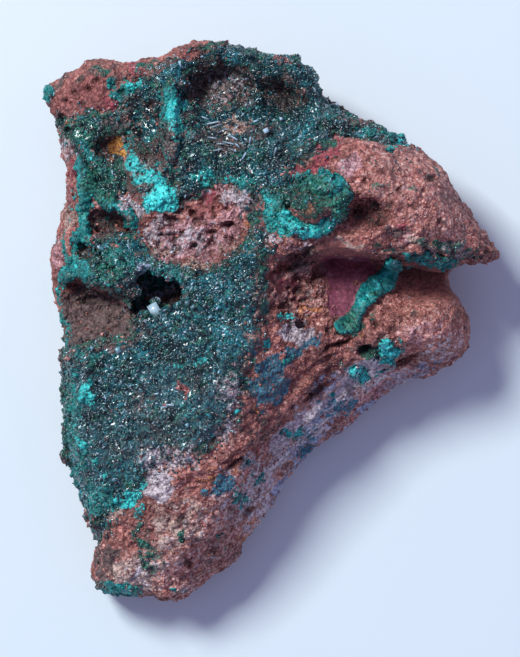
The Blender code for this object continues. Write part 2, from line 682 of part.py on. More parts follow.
def druse(rock, skins):
    """The dioptase crust: a crystal tip on each facet of its outer face, and larger crystals in
    the hollows."""
    gaps = [CAVE_MOUTH, *(grown(facts["edge"], CRUST_GAP) for facts in CHRYSOCOLLA.values())]
    made = coat(
        "dioptase_druse", rock, DRUSE_EDGE, DRUSE_FOOT,
        lambda p, n: (1.05 + 0.25 * lumps(p, 5 * MM, 2, 8.0)) * MM, DRUSE_TRIANGLES, gaps,
    )
    shape = bmesh.new()
    shape.from_mesh(made.data)
    surface = BVHTree.FromBMesh(shape)
    shape.free()
    for facts in LARGE_CRYSTALS:
        one = crystal(*facts, surface)
        boolean(made, one, "UNION")
        drop(one)
    shape = bmesh.new()
    shape.from_mesh(made.data)
    bmesh.ops.triangulate(shape, faces=shape.faces)
    faces = [face for face in shape.faces if face.calc_area() > TIP_FACE and face.normal.z > -0.2]
    centres = np.array([tuple(face.calc_center_median()) for face in faces])
    clear = edge_distance(centres[:, :2], plan_path(DRUSE_EDGE)) > EDGE_MARGIN
    for gap in gaps:
        clear &= edge_distance(centres[:, :2], plan_path(gap)) < -EDGE_MARGIN
    for spot in plan_path(LARGE_CRYSTALS):
        clear &= np.linalg.norm(centres[:, :2] - spot, axis=1) > CRYSTAL_MARGIN
    for face, is_clear in zip(faces, clear, strict=True):
        if is_clear:
            rise = 0.3 * math.sqrt(face.calc_area())
            tip = face.calc_center_median() + face.normal * rise
            tip += Vector(noise.random_unit_vector()) * 0.25 * rise
            bmesh.ops.poke(shape, faces=[face])["verts"][0].co = tip
    shape.to_mesh(made.data)
    shape.free()
    return lift_off(made, skins)


def centre(objects):
    """Moves the objects so that the middle of their common plan is on the Z axis."""
    places = np.array([tuple(v.co) for obj in objects for v in obj.data.vertices])
    middle = (places.min(axis=0) + places.max(axis=0)) / 2
    for obj in objects:
        obj.data.transform(Matrix.Translation((-middle[0], -middle[1], 0)))


def finish(obj, colour, roughness, metallic=0.0):
    """Gives the object its material and flat facets."""
    material = bpy.data.materials.get(obj.name) or bpy.data.materials.new(obj.name)
    material.use_nodes = True
    shader = material.node_tree.nodes["Principled BSDF"]
    shader.inputs["Base Color"].default_value = (*colour, 1)
    shader.inputs["Roughness"].default_value = roughness
    shader.inputs["Metallic"].default_value = metallic
    obj.data.materials.clear()
    obj.data.materials.append(material)
    return obj


def main():
    for obj in list(bpy.data.objects):
        bpy.data.objects.remove(obj)
    noise.seed_set(5)
    rock = build_rock()
    matrix = flatten_base(thin_out(copy_of(rock, "matrix"), MATRIX_TRIANGLES))
    finish(matrix, (0.30, 0.13, 0.09), 0.85)
    skins = [swollen(matrix, gap) for gap in GAPS]
    finish(druse(rock, skins), (0.01, 0.09, 0.06), 0.15)
    for name, facts in CHRYSOCOLLA.items():
        made = crust(
            name, rock, skins, facts["edge"], facts["foot"], facts["thickness"], facts["lumps"],
            facts["triangles"],
        )
        finish(made, (0.02, 0.40, 0.38), 0.45)
    drop(*skins, rock)
    centre(bpy.data.objects)


if __name__ == "__main__":
    main()
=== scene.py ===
"""Dioptase on matrix: the finish of a hand specimen of rusty copper ore, laid out as an add-on.

The rock, the dioptase druse and the chrysocolla crusts are made finer from the solids of the
frame, small crystals and grains are scattered over them, and each mineral gets its material.
Plan places are in survey units, x to the right and y towards the viewer.
"""

import json
import math
from collections import namedtuple

import bmesh
import bpy
import numpy as np
from bpy.props import FloatProperty, FloatVectorProperty, IntProperty, PointerProperty
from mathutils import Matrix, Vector, noise
from mathutils.bvhtree import BVHTree

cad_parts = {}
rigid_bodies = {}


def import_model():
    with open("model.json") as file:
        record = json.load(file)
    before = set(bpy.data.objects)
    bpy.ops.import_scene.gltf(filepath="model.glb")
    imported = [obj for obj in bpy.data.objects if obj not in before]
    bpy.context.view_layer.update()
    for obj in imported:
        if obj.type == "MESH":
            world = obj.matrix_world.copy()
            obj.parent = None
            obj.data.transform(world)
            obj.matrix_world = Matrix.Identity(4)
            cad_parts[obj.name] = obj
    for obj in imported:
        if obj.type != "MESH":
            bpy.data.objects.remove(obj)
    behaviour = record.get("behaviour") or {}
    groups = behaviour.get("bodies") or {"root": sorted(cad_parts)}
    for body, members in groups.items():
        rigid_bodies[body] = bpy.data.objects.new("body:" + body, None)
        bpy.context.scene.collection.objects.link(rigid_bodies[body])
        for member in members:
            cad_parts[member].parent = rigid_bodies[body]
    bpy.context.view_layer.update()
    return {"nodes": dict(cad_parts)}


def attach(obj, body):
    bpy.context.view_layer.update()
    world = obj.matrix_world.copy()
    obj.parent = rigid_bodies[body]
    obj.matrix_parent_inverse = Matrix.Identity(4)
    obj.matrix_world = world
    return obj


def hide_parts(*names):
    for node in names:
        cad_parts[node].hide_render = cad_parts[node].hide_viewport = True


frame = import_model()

bl_info = {
    "name": "Dioptase on Matrix",
    "version": (1, 0, 0),
    "blender": (4, 5, 0),
    "location": "3D View > Sidebar > Minerals",
    "description": "A specimen of dioptase and chrysocolla crystals on rusty rock",
    "category": "Add Mesh",
}

MM = 0.001
BODY = "root"

# The survey: metres per unit, the plan unit under the eye, and where the eye stands in metres.
UNIT = 0.2 * MM
EYE_PLAN = (260.0, 328.5)
EYE = (-2.13 * MM, -1.06 * MM)
EYE_HEIGHT = 0.9
RIM_HEIGHT = 18 * MM
VIEW_HEIGHT = 657  # how many plan units the camera sees from top to bottom
SENSOR = 36.0

FLOOR_REACH = 1.5
LAMP_SPOT = (-0.70, 0.70, 1.19)
LAMP_SIZE = 0.42
LAMP_COLOUR = (0.96, 1.0, 0.98)

RESTING = 0.4 * MM  # rock below this height keeps to the plane that the specimen rests on
LOWEST_GROWTH = 2.2 * MM  # crystals, grains and beads stay above this height
CRYSTAL_WIDTHS = (0.17 * MM, 1.1 * MM)
PAINTED_GLINT_WIDTH = 0.36 * MM  # the widest small crystal that gets the painted glint colour
STEEP_WIDTH = 0.34 * MM  # the widest and longest small crystal on a steep side
STEEP_LENGTH = 0.6 * MM
GRAIN_WIDTHS = (0.18 * MM, 0.95 * MM)
GRAIN_SEEDS = (1.3, 4.7, 9.1, 14.2, 20.9)
NOISE_SEED = 5  # gives the grains' and beads' chips the same shapes in each run
BEAD_WIDTH = 0.42 * MM
BEAD_WIDTHS = (0.2 * MM, 1.2 * MM)
BEAD_SEEDS = (2.2, 7.3, 11.8)
PAINTED_GLINT_BLOCKS = 3  # so many of the first blocks get the full painted glint colour, a painted reflection of the sky

# A crust: the piece that it becomes, the share of beads on it, the height of its foot, how deep
# the rock is sunk under it, how far it spreads sideways and how softly its edge thins, all in
# millimetres, how much of its height is left, and its plan outline.
Crust = namedtuple("Crust", "piece beads foot sunk growth soft height outline")
CRUSTS = {
    "chrysocolla_vein": Crust("vein_crust", 0.04, 14, 1.32, 0.3, 0.7, 0.6, [
        (392, 263), (399, 268), (398, 278), (392, 288), (378, 296), (369, 302), (363, 312),
        (358, 324), (352, 334), (342, 334), (336, 322), (347, 316), (354, 304), (360, 286),
        (370, 278), (381, 272),
    ]),
    "chrysocolla_ledge": Crust("ledge_crust", 0.3, 20, 0.9, 0.0, 1.8, 0.6, [
        (400, 257), (412, 256), (424, 257), (434, 261), (446, 259), (456, 256), (452, 266),
        (438, 271), (428, 266), (414, 262), (402, 262),
    ]),
    "chrysocolla_knob": Crust("knob_crust", 0.3, 25, 1.68, 0.3, 2.0, 0.7, [
        (298, 178), (316, 174), (332, 178), (342, 190), (347, 206), (340, 222), (330, 234),
        (316, 242), (298, 238), (282, 230), (272, 214), (280, 206), (288, 214), (304, 220),
        (322, 218), (330, 206), (318, 196), (300, 192),
    ]),
    "chrysocolla_bloom": Crust("bloom_crust", 0.6, 20, 0.9, 0.2, 2.0, 0.85, [
        (134, 154), (144, 158), (156, 160), (170, 170), (173, 184), (172, 198), (160, 214),
        (148, 210), (142, 196), (132, 188), (132, 170),
    ]),
    "chrysocolla_ridge": Crust("ridge_crust", 0.5, 20, 1.14, 0.2, 1.6, 1.0, [
        (168, 90), (177, 96), (179, 114), (180, 140), (177, 164), (170, 160), (163, 154),
        (164, 128), (166, 104),
    ]),
    "chrysocolla_wall": Crust("wall_crust", 0.2, 13, 0.84, 0.1, 1.6, 0.9, [
        (80, 156), (88, 168), (102, 190), (118, 200), (132, 210), (142, 222), (138, 232),
        (126, 230), (120, 214), (102, 212), (97, 198), (89, 200), (90, 216), (90, 236),
        (98, 240), (98, 258), (92, 282), (78, 278), (66, 284), (56, 278), (60, 266),
        (70, 262), (74, 248), (68, 238), (80, 232), (82, 206), (80, 184), (76, 170),
    ]),
    "chrysocolla_flank_lump": Crust("flank_lump_crust", 0.7, 16, 0.9, 0, 1.3, 0.9, [
        (376, 344), (386, 340), (395, 346), (396, 358), (388, 364), (380, 358),
    ]),
    "chrysocolla_flank_spot": Crust("flank_spot_crust", 0.7, 16, 0.78, 0, 1.3, 0.9, [
        (350, 372), (358, 366), (368, 372), (366, 381), (354, 382),
    ]),
    "chrysocolla_foot": Crust("foot_crust", 0.4, 4, 0.72, 0, 2.0, 0.8, [
        (96, 584), (108, 580), (128, 586), (144, 592), (146, 600), (100, 602), (92, 594),
    ]),
    "chrysocolla_tip": Crust("tip_crust", 0.4, 19, 0.66, 0, 2.0, 0.6, [
        (38, 84), (52, 80), (56, 90), (52, 104), (44, 106), (38, 96),
    ]),
}
CRUST_PIECES = [crust.piece for crust in CRUSTS.values()]
# The druse in the same terms: its foot, how deep the rock is sunk under it, and its plan outline.
DRUSE_FOOT = 15
DRUSE_SUNK = 0.9
DRUSE_EDGE = [
    (60, 114), (68, 122), (84, 119), (104, 116), (120, 112), (130, 96), (146, 78), (166, 70),
    (190, 60), (208, 56), (216, 50), (222, 32), (250, 42), (290, 48), (312, 62), (330, 84),
    (352, 106), (384, 120), (410, 130), (406, 144), (390, 146), (368, 141), (346, 138), (332, 134),
    (326, 150), (304, 162), (288, 172), (296, 178), (292, 186), (280, 200), (262, 196), (250, 204),
    (256, 224), (266, 236), (260, 262), (262, 300), (252, 350), (240, 396), (222, 430), (206, 446),
    (186, 456), (160, 462), (146, 474), (138, 492), (120, 502), (106, 514), (100, 536), (92, 546),
    (80, 540), (70, 512), (60, 484), (52, 462), (52, 420), (48, 390), (48, 356), (66, 350),
    (88, 350), (104, 342), (128, 340), (138, 326), (134, 300), (112, 288), (98, 282), (100, 262),
    (104, 240), (128, 236), (138, 240), (146, 256), (164, 262), (188, 270), (210, 272), (226, 264),
    (248, 248), (256, 232), (244, 204), (232, 184), (212, 182), (196, 196), (180, 202), (176, 194),
    (180, 168), (184, 140), (182, 112), (178, 92), (168, 86), (162, 100), (160, 130), (158, 150),
    (146, 152), (132, 146), (128, 134), (112, 132), (100, 138), (96, 150), (100, 164), (120, 176),
    (126, 190), (118, 196), (104, 186), (92, 164), (80, 150), (70, 144), (58, 128),
]
FOOT_FALL = 0.125  # how fast a crust's foot falls towards the viewer

# What later pieces need of earlier ones: the rock's surface before its roughness, for the crusts
# to lie on, its pale places, its places of painted shade and grime, and the druse's surface.
SHAPED = {}

# Patches of each mineral or stain: plan x, y, half sizes along and across, the turn of the long
# side from +X in degrees, and how fully the patch is covered.
PATCHES = {
    "umber": [
        (236, 136, 44, 16, 10, 0.55), (446, 251, 30, 7, -5, 0.7), (400, 250, 14, 4, -5, 0.5),
        (86, 253, 7, 8, 0, 1.0), (170, 536, 58, 40, 20, 0.36), (100, 560, 14, 20, 0, 0.6),
        (170, 292, 14, 10, 0, 0.9), (104, 566, 18, 24, 0, 0.7), (336, 212, 10, 10, 0, 0.5),
        (200, 376, 22, 14, 0, 0.35), (140, 404, 26, 12, 0, 0.35), (222, 88, 34, 22, 10, 1.0),
        (94, 72, 28, 5, 15, 0.7), (62, 78, 12, 5, 45, 0.6), (72, 108, 10, 5, 0, 0.45),
        (400, 232, 24, 8, -8, 0.4), (448, 265, 12, 5, 0, 0.4), (424, 258, 4, 4, 0, 0.4),
        (282, 92, 26, 18, -20, 0.9), (142, 146, 44, 50, 0, 0.85), (98, 312, 36, 30, 0, 1.0),
        (110, 220, 20, 12, 0, 0.8), (170, 440, 40, 20, 10, 0.35), (372, 214, 24, 12, 0, 0.6),
        (298, 285, 28, 34, 0, 0.42), (98, 330, 44, 22, 0, 1.0), (312, 207, 18, 8, 0, 0.75),
        (250, 425, 26, 26, 40, 0.5), (300, 262, 26, 14, 20, 0.6), (335, 262, 18, 10, 0, 0.8),
    ],
    # Painted light: the blue-grey of sky light, laid on faces turned from the lamp, mostly low on the
    # flank, and in the deep hollow.
    "painted_skylight": [
        (156, 281, 26, 18, 0, 0.75), (330, 412, 30, 12, 38, 0.7), (306, 442, 26, 12, 48, 0.8),
        (296, 334, 16, 12, 0, 0.4), (372, 418, 62, 13, 38, 0.85), (300, 478, 44, 14, 50, 0.75),
        (420, 376, 34, 9, 36, 0.5), (262, 540, 26, 10, 60, 0.5), (90, 250, 4, 20, 0, 0.3),
        (330, 380, 24, 7, 35, 0.5),
    ],
    "red": [
        (372, 217, 24, 12, 0, 0.5), (80, 96, 30, 16, 20, 1.0), (103, 76, 14, 6, 15, 0.8),
        (107, 101, 11, 6, 0, 0.9), (145, 69, 18, 7, 20, 0.8), (190, 53, 18, 6, 8, 0.8),
        (71, 188, 6, 18, 0, 0.9), (57, 258, 8, 20, 0, 0.9), (183, 391, 12, 5, -62, 0.9),
        (220, 202, 18, 12, 45, 0.8), (262, 222, 6, 5, 0, 0.7), (284, 286, 10, 8, 0, 0.7),
        (212, 206, 19, 15, 35, 1.0), (418, 188, 60, 36, -38, 0.36), (240, 455, 18, 10, 30, 0.5),
        (262, 468, 18, 8, 20, 0.6), (258, 344, 3, 3, 0, 0.8), (304, 300, 20, 24, 0, 0.4),
        (286, 60, 14, 5, -20, 0.5),
    ],
    "rose": [
        (198, 226, 22, 14, 20, 0.6), (420, 332, 34, 14, 10, 0.45), (222, 92, 22, 12, 0, 0.4),
        (330, 222, 9, 6, 0, 0.55), (236, 372, 14, 14, 0, 0.35), (172, 240, 26, 22, 0, 0.85),
        (206, 246, 26, 15, 0, 0.85), (232, 222, 14, 16, 0, 0.7), (214, 192, 22, 6, 35, 0.6),
        (120, 206, 12, 8, -20, 0.6), (240, 206, 16, 12, -20, 0.6), (66, 200, 6, 40, 0, 0.5),
        (58, 256, 7, 22, 0, 0.6), (350, 163, 14, 10, 30, 0.85), (292, 246, 12, 8, 0, 0.5),
        (404, 240, 12, 6, 0, 0.6), (376, 392, 24, 8, 35, 0.6), (250, 500, 30, 10, 48, 0.4),
        (452, 352, 16, 8, 40, 0.5),
    ],
    "crimson": [
        (398, 231, 26, 9, -8, 0.42), (322, 160, 20, 6, 42, 1.0), (303, 171, 12, 5, 15, 1.0),
        (337, 144, 4, 9, -20, 0.9), (109, 101, 9, 5, 0, 0.9), (410, 226, 24, 7, -15, 0.3),
        (210, 198, 12, 4, 35, 0.8), (196, 243, 12, 6, 0, 0.5), (72, 176, 4, 12, 0, 0.7),
        (286, 284, 8, 5, 0, 0.6), (134, 66, 12, 5, 20, 0.5), (238, 452, 10, 5, 0, 0.4),
    ],
    "maroon": [(348, 267, 30, 14, -5, 1.0), (344, 292, 14, 26, 18, 1.0), (338, 304, 9, 14, 0, 0.9)],
    "ochre": [(118, 149, 9, 13, 5, 1.0), (210, 480, 5, 4, 0, 0.9)],
    "orange": [
        (307, 312, 9, 5, 0, 0.9), (210, 480, 6, 4, 0, 1.0), (362, 333, 4, 3, 0, 0.9),
        (257, 406, 5, 4, 0, 0.9), (200, 474, 26, 8, 5, 0.36), (236, 470, 14, 6, 20, 0.34),
        (247, 224, 4, 5, 0, 0.7), (315, 207, 10, 6, 0, 0.7), (70, 121, 4, 4, 0, 0.7),
        (250, 530, 8, 14, -30, 0.5), (245, 250, 5, 4, 0, 0.5),
    ],
    "tan": [
        (140, 574, 30, 18, 10, 0.66), (176, 520, 40, 30, 30, 0.5), (318, 206, 16, 7, 0, 0.45),
        (300, 214, 10, 5, 0, 0.5), (256, 300, 7, 30, 0, 0.4), (250, 345, 9, 22, 0, 0.42),
        (446, 250, 26, 5, -5, 0.55), (422, 246, 12, 4, 0, 0.5), (70, 218, 8, 14, 0, 0.9),
        (238, 124, 8, 5, 30, 0.9), (247, 117, 6, 4, 20, 0.8), (231, 129, 4, 4, 0, 0.7),
        (197, 264, 20, 7, 5, 0.8), (116, 514, 11, 7, 10, 1.0), (410, 242, 6, 4, 0, 0.9),
        (224, 192, 9, 5, 0, 0.6), (341, 241, 20, 2.4, -6, 1.0), (342, 254, 18, 2, 4, 0.9),
        (162, 250, 18, 8, 0, 0.55), (226, 244, 14, 8, 30, 0.5), (158, 226, 10, 8, 0, 0.4),
        (440, 248, 30, 6, -5, 0.35), (122, 532, 12, 14, 0, 0.35), (160, 540, 26, 20, 0, 0.3),
    ],
    "pale": [
        (450, 249, 28, 6, -5, 0.42), (172, 293, 9, 6, 0, 0.45), (360, 370, 26, 9, 35, 0.85),
        (150, 572, 34, 22, 10, 0.36), (188, 516, 34, 26, 30, 0.3), (222, 86, 24, 16, 10, 0.45),
        (248, 462, 16, 7, 40, 0.6), (224, 470, 10, 5, 0, 0.6), (131, 206, 15, 7, -25, 0.9),
        (92, 188, 6, 9, 30, 0.6), (190, 240, 24, 16, 0, 0.55), (238, 198, 16, 10, -20, 0.7),
        (156, 232, 10, 18, 0, 0.6), (345, 160, 12, 9, 30, 0.35), (298, 332, 13, 15, 0, 0.85),
        (312, 412, 26, 14, 50, 0.4), (280, 452, 16, 10, 40, 0.7), (378, 374, 22, 8, 35, 0.8),
        (338, 394, 36, 7, 38, 1.0), (297, 422, 32, 7, 42, 1.0), (345, 404, 30, 5, 38, 0.6),
        (300, 436, 28, 5, 46, 0.6), (392, 382, 26, 3, 33, 0.8), (262, 508, 30, 4, 55, 0.7),
        (324, 424, 26, 3, 42, 0.8), (160, 484, 14, 18, 0, 0.85), (165, 458, 34, 16, 0, 0.55),
        (256, 486, 38, 14, 50, 0.6), (137, 572, 5, 5, 0, 1.0), (180, 552, 60, 38, 20, 0.3),
        (238, 500, 42, 22, 45, 0.4), (440, 350, 34, 14, 35, 0.45), (275, 240, 10, 8, 0, 0.6),
        (226, 430, 10, 14, 0, 0.5), (230, 390, 15, 24, 0, 0.5), (66, 150, 8, 14, 0, 0.5),
        (190, 590, 16, 6, 20, 0.4), (300, 245, 16, 5, -10, 0.4),
    ],
    "pine": [
        (102, 69, 16, 5, -8, 0.55), (150, 66, 12, 6, 0, 0.6), (449, 249, 22, 6, -5, 0.34),
        (428, 250, 12, 5, -5, 0.3), (394, 268, 5, 4, 0, 0.5), (374, 292, 6, 4, 0, 0.62),
        (357, 317, 4, 7, 0, 0.62), (104, 180, 20, 24, 0, 0.9), (86, 134, 22, 12, 0, 0.8),
        (60, 430, 10, 80, 0, 0.6), (350, 322, 12, 12, 0, 0.7), (306, 192, 30, 16, 0, 1.0),
        (340, 206, 9, 14, 0, 1.0), (286, 202, 12, 12, 0, 0.7), (312, 208, 22, 9, 0, 0.6),
        (150, 556, 20, 12, -50, 0.58), (136, 535, 4, 16, 10, 0.6), (183, 537, 5, 5, 0, 0.9),
        (220, 540, 5, 5, 0, 0.7), (106, 264, 22, 20, 0, 0.9), (158, 280, 24, 18, 0, 0.35),
        (228, 156, 60, 12, 0, 0.45), (384, 168, 12, 5, 0, 0.4), (380, 188, 8, 4, 0, 0.4),
        (432, 178, 7, 7, 0, 0.6), (456, 250, 34, 8, -5, 0.5), (384, 250, 16, 5, -5, 0.4),
        (372, 312, 8, 8, 0, 0.35), (428, 244, 14, 6, 0, 0.55), (400, 160, 10, 4, 0, 0.4),
        (412, 186, 8, 4, 0, 0.3), (366, 354, 8, 8, 0, 0.8), (340, 362, 8, 8, 0, 0.5),
    ],
    "ink": [
        (266, 376, 24, 14, 55, 0.8), (292, 357, 28, 7, 33, 0.8), (276, 392, 24, 9, 38, 0.75),
        (330, 408, 20, 6, 38, 0.55), (308, 440, 16, 9, 45, 0.45), (254, 352, 8, 10, 0, 0.5),
        (348, 406, 14, 6, 30, 0.8), (312, 346, 12, 5, 35, 0.7), (306, 452, 12, 8, 40, 0.85),
        (223, 486, 15, 9, 10, 1.1), (264, 392, 10, 12, 0, 0.6), (322, 398, 12, 6, 30, 0.5),
    ],
    "teal": [
        # The patch at 164, 278 is painted light in the deep hollow, in the teal of its crystals.
        (248, 462, 8, 5, 0, 0.8), (164, 278, 24, 15, 0, 0.6), (74, 410, 9, 46, 0, 0.7),
        (76, 470, 8, 30, -15, 0.6), (128, 140, 3, 10, 0, 0.8), (390, 152, 8, 4, -30, 0.7),
        (172, 130, 13, 44, 0, 1.0), (128, 90, 16, 8, 20, 0.8), (112, 88, 8, 10, 0, 0.6),
        (45, 93, 8, 12, 0, 0.9), (84, 206, 6, 40, 0, 1.0), (68, 252, 5, 26, 10, 0.7),
        (62, 312, 5, 36, 0, 1.0), (100, 284, 26, 6, -20, 0.7), (96, 160, 6, 30, 35, 0.8),
        (118, 262, 20, 18, 0, 0.5), (120, 222, 34, 26, 0, 0.35), (272, 210, 12, 20, 0, 0.8),
        (305, 230, 28, 10, -5, 0.8), (288, 360, 20, 4, 35, 0.5), (262, 386, 12, 5, 40, 0.5),
        (258, 479, 8, 4, 0, 0.9), (242, 498, 8, 6, 0, 1.0), (175, 591, 9, 3, -20, 0.9),
        (107, 592, 13, 7, 0, 0.9), (297, 432, 10, 7, 30, 1.0), (415, 259, 12, 3, 0, 0.9),
        (441, 263, 15, 4, 10, 0.8), (202, 178, 12, 6, 0, 0.7), (247, 180, 12, 9, 0, 0.9),
        (230, 410, 30, 26, 0, 0.25), (392, 134, 12, 5, -25, 0.8), (368, 132, 16, 5, -20, 0.6),
        (330, 118, 10, 10, 0, 0.5), (262, 300, 14, 46, 0, 0.3), (86, 356, 24, 8, 0, 0.5),
        (236, 300, 30, 20, 0, 0.25), (100, 500, 22, 16, -30, 0.7), (400, 344, 5, 4, 0, 0.5),
        (380, 372, 6, 4, 0, 0.6),
    ],
    "bright": [
        (297, 432, 6, 4, 0, 0.7), (385, 274, 4, 10, 40, 0.45), (364, 300, 3, 9, -30, 0.45),
        (347, 328, 8, 4, 0, 0.42), (133, 161, 10, 16, 20, 0.72), (160, 200, 17, 15, 0, 1.0),
        (153, 178, 24, 12, -20, 0.62), (386, 274, 9, 10, 0, 0.4), (198, 176, 12, 6, 0, 0.5),
        (232, 180, 12, 7, 0, 0.5), (72, 196, 3, 26, 0, 0.4), (135, 84, 7, 5, 0, 0.9),
        (177, 112, 9, 20, 0, 0.66), (304, 232, 22, 7, -5, 0.62), (284, 222, 9, 10, 0, 0.5),
        (192, 361, 26, 6, 10, 0.45), (265, 345, 4, 4, 0, 1.0), (286, 318, 8, 5, 20, 0.6),
        (237, 410, 4, 5, 0, 1.0), (80, 445, 4, 5, 0, 1.0), (88, 394, 6, 14, -25, 0.95),
        (100, 468, 4, 9, 0, 0.6), (388, 353, 9, 12, 15, 0.9), (358, 374, 8, 7, 0, 0.9),
        (334, 391, 6, 5, 0, 0.8), (132, 496, 18, 7, 30, 0.85), (136, 512, 6, 8, 0, 0.5),
        (400, 142, 6, 5, 0, 0.9), (268, 208, 6, 10, 0, 0.5), (106, 108, 6, 4, 0, 0.4),
        (203, 176, 6, 3, 10, 0.6), (206, 320, 20, 20, 0, 0.15), (300, 178, 8, 5, 0, 0.5),
    ],
}
FAMILIES = list(PATCHES)
# Narrow pits: plan x, y, half sizes, turn, and how deep they are in millimetres.
PITS = [
    (193, 213, 3.2, 2.8, 0, 2.4), (172, 220, 6, 3, -10, 2.2), (212, 232, 4, 2.4, 0, 2.0),
    (194, 245, 2.8, 2.2, 0, 2.0), (227, 225, 5.5, 2.8, 15, 2.2), (85, 250, 8.5, 6, 0, 2.7),
    (88, 257, 4, 5, 0, 1.2), (122, 92, 3, 3, 0, 1.2), (101, 227, 8, 3, -5, 1.6),
    (120, 228, 7, 2.5, -5, 1.4), (84, 216, 3, 6, 0, 1.2), (303, 323, 7, 2.5, 0, 1.5),
    (322, 270, 5, 6, 0, 1.1), (300, 290, 5, 4, 0, 1.1), (284, 306, 5, 3, 0, 1.0),
    (312, 282, 4, 3, 0, 1.0), (290, 268, 4, 3, 30, 1.0), (74, 92, 2.5, 2.5, 0, 0.8),
    (88, 88, 3, 2.5, 0, 0.8), (96, 80, 3, 2.5, 0, 0.8), (64, 100, 3, 2, 0, 0.7),
    (82, 104, 3, 2, 0, 0.7), (400, 190, 3, 3, 0, 0.7), (382, 172, 4, 3, 0, 0.7),
    (412, 206, 4, 2.5, 0, 0.7), (440, 222, 3, 2.5, 0, 0.7), (392, 204, 3, 3, 0, 0.7),
    (424, 190, 2.5, 2.5, 0, 0.6), (366, 180, 3, 3, 0, 0.7), (330, 330, 4, 3, 0, 0.9),
    (392, 330, 4, 3, 0, 0.8), (376, 324, 3, 3, 0, 0.8), (362, 214, 6, 3, 0, 0.7),
    (378, 222, 6, 2.5, 0, 0.7), (372, 206, 5, 2.5, 0, 0.6), (432, 178, 4, 3, 0, 0.8),
    (366, 351, 7, 4, 0, 1.5), (404, 362, 12, 2.5, 30, 1.6), (352, 388, 9, 2, 35, 1.1),
    (318, 392, 12, 2, 35, 1.2), (338, 345, 14, 2.5, 25, 1.1), (88, 300, 7, 4, 0, 1.0),
    (236, 464, 9, 2.5, 40, 1.1), (180, 520, 4, 3, 0, 0.8), (214, 552, 4, 3, 0, 0.8),
    (150, 572, 4, 3, 0, 0.9), (190, 566, 3, 3, 0, 0.8), (248, 512, 5, 3, 40, 0.9),
    (150, 105, 6, 5, 0, 1.2), (146, 136, 5, 5, 0, 1.2), (136, 118, 4, 6, 0, 1.0),
]
BARE = ["red", "rose", "crimson", "tan", "pale", "orange"]  # rock that the druse leaves clean
# Broad places of painted light and shade, in the same terms as the patches. The lighter ones
# light up faces turned from the lamp and the deep hollow, and lay grey dust on the druse; the
# darker ones paint shade under the ledge, in hollows and in every pit, with some grime on the druse.
TONES = {
    "dust_and_light": [
        (330, 402, 62, 12, 38, 2.0), (372, 385, 30, 8, 35, 1.6), (262, 505, 34, 9, 55, 1.6),
        (156, 281, 26, 18, 0, 1.0), (160, 482, 16, 20, 0, 0.6), (330, 418, 50, 10, 40, 0.8),
        (140, 574, 34, 22, 0, 1.0), (428, 334, 36, 16, 0, 0.7), (206, 216, 30, 24, 0, 0.6),
        (362, 372, 30, 14, 30, 1.0), (420, 186, 66, 40, -38, 1.0), (446, 226, 30, 20, -30, 0.8),
        (444, 336, 30, 24, 0, 0.5), (200, 556, 62, 44, 30, 0.7), (246, 500, 56, 30, 45, 0.8),
        (350, 420, 90, 30, 38, 1.0), (270, 500, 60, 20, 50, 1.0), (180, 414, 66, 46, 0, 0.5),
        (98, 314, 30, 20, 0, 0.5), (230, 88, 26, 18, 0, 0.9), (300, 290, 26, 30, 0, 0.9),
        (430, 300, 30, 12, 0, 0.6), (160, 450, 50, 20, 0, 0.8),
    ],
    "grime_and_shade": [
        (150, 138, 18, 26, 0, 0.45), (370, 213, 18, 11, 0, 0.6), (262, 128, 40, 20, 0, 0.35),
        (196, 78, 10, 12, 0, 0.4), (310, 92, 22, 14, -40, 0.5), (100, 176, 10, 16, 0, 0.3),
        (300, 190, 10, 12, 0, 0.45), (318, 208, 14, 5, 0, 0.35), (284, 92, 34, 22, -10, 0.85),
        (206, 84, 14, 20, 0, 0.6), (228, 72, 30, 8, 0, 0.5), (252, 150, 60, 26, 0, 0.4),
        (368, 214, 20, 9, 0, 0.4), (424, 270, 34, 6, 0, 0.5), (104, 150, 14, 10, 0, 0.7),
        (146, 112, 14, 26, 10, 0.45), (76, 284, 22, 10, -20, 0.7), (118, 294, 18, 8, 0, 0.7),
        (112, 228, 24, 6, 0, 0.7), (306, 258, 18, 6, 0, 0.5), (230, 262, 40, 14, -10, 0.3),
        (120, 382, 40, 24, 0, 0.3), (210, 372, 30, 14, 0, 0.3), (88, 430, 20, 40, 0, 0.4),
        (326, 262, 10, 8, 0, 0.4),
    # Painted shade: every pit is darkened over a little more than its own size.
    ] + [(x, y, 1.2 * along, 1.2 * across, turn, 0.7) for x, y, along, across, turn, _ in PITS],
}
# Rock that is full of small holes, and rock that is worn or split smooth.
POROUS = [
    (195, 228, 48, 34, 10, 1.0), (300, 292, 26, 40, 0, 0.9), (364, 216, 24, 14, 0, 0.7),
    (98, 312, 34, 26, 0, 0.45), (72, 180, 14, 60, 0, 0.5), (222, 88, 34, 22, 0, 0.4),
    (150, 540, 60, 50, 0, 0.15),
]
SMOOTH = [
    (206, 209, 15, 13, 35, 0.7), (420, 190, 62, 36, -38, 0.35), (348, 267, 32, 16, -5, 1.0),
    (344, 292, 16, 30, 18, 1.0), (342, 247, 24, 8, -4, 1.0), (434, 284, 42, 20, 0, 1.0),
    (440, 345, 34, 22, 30, 0.4),
]
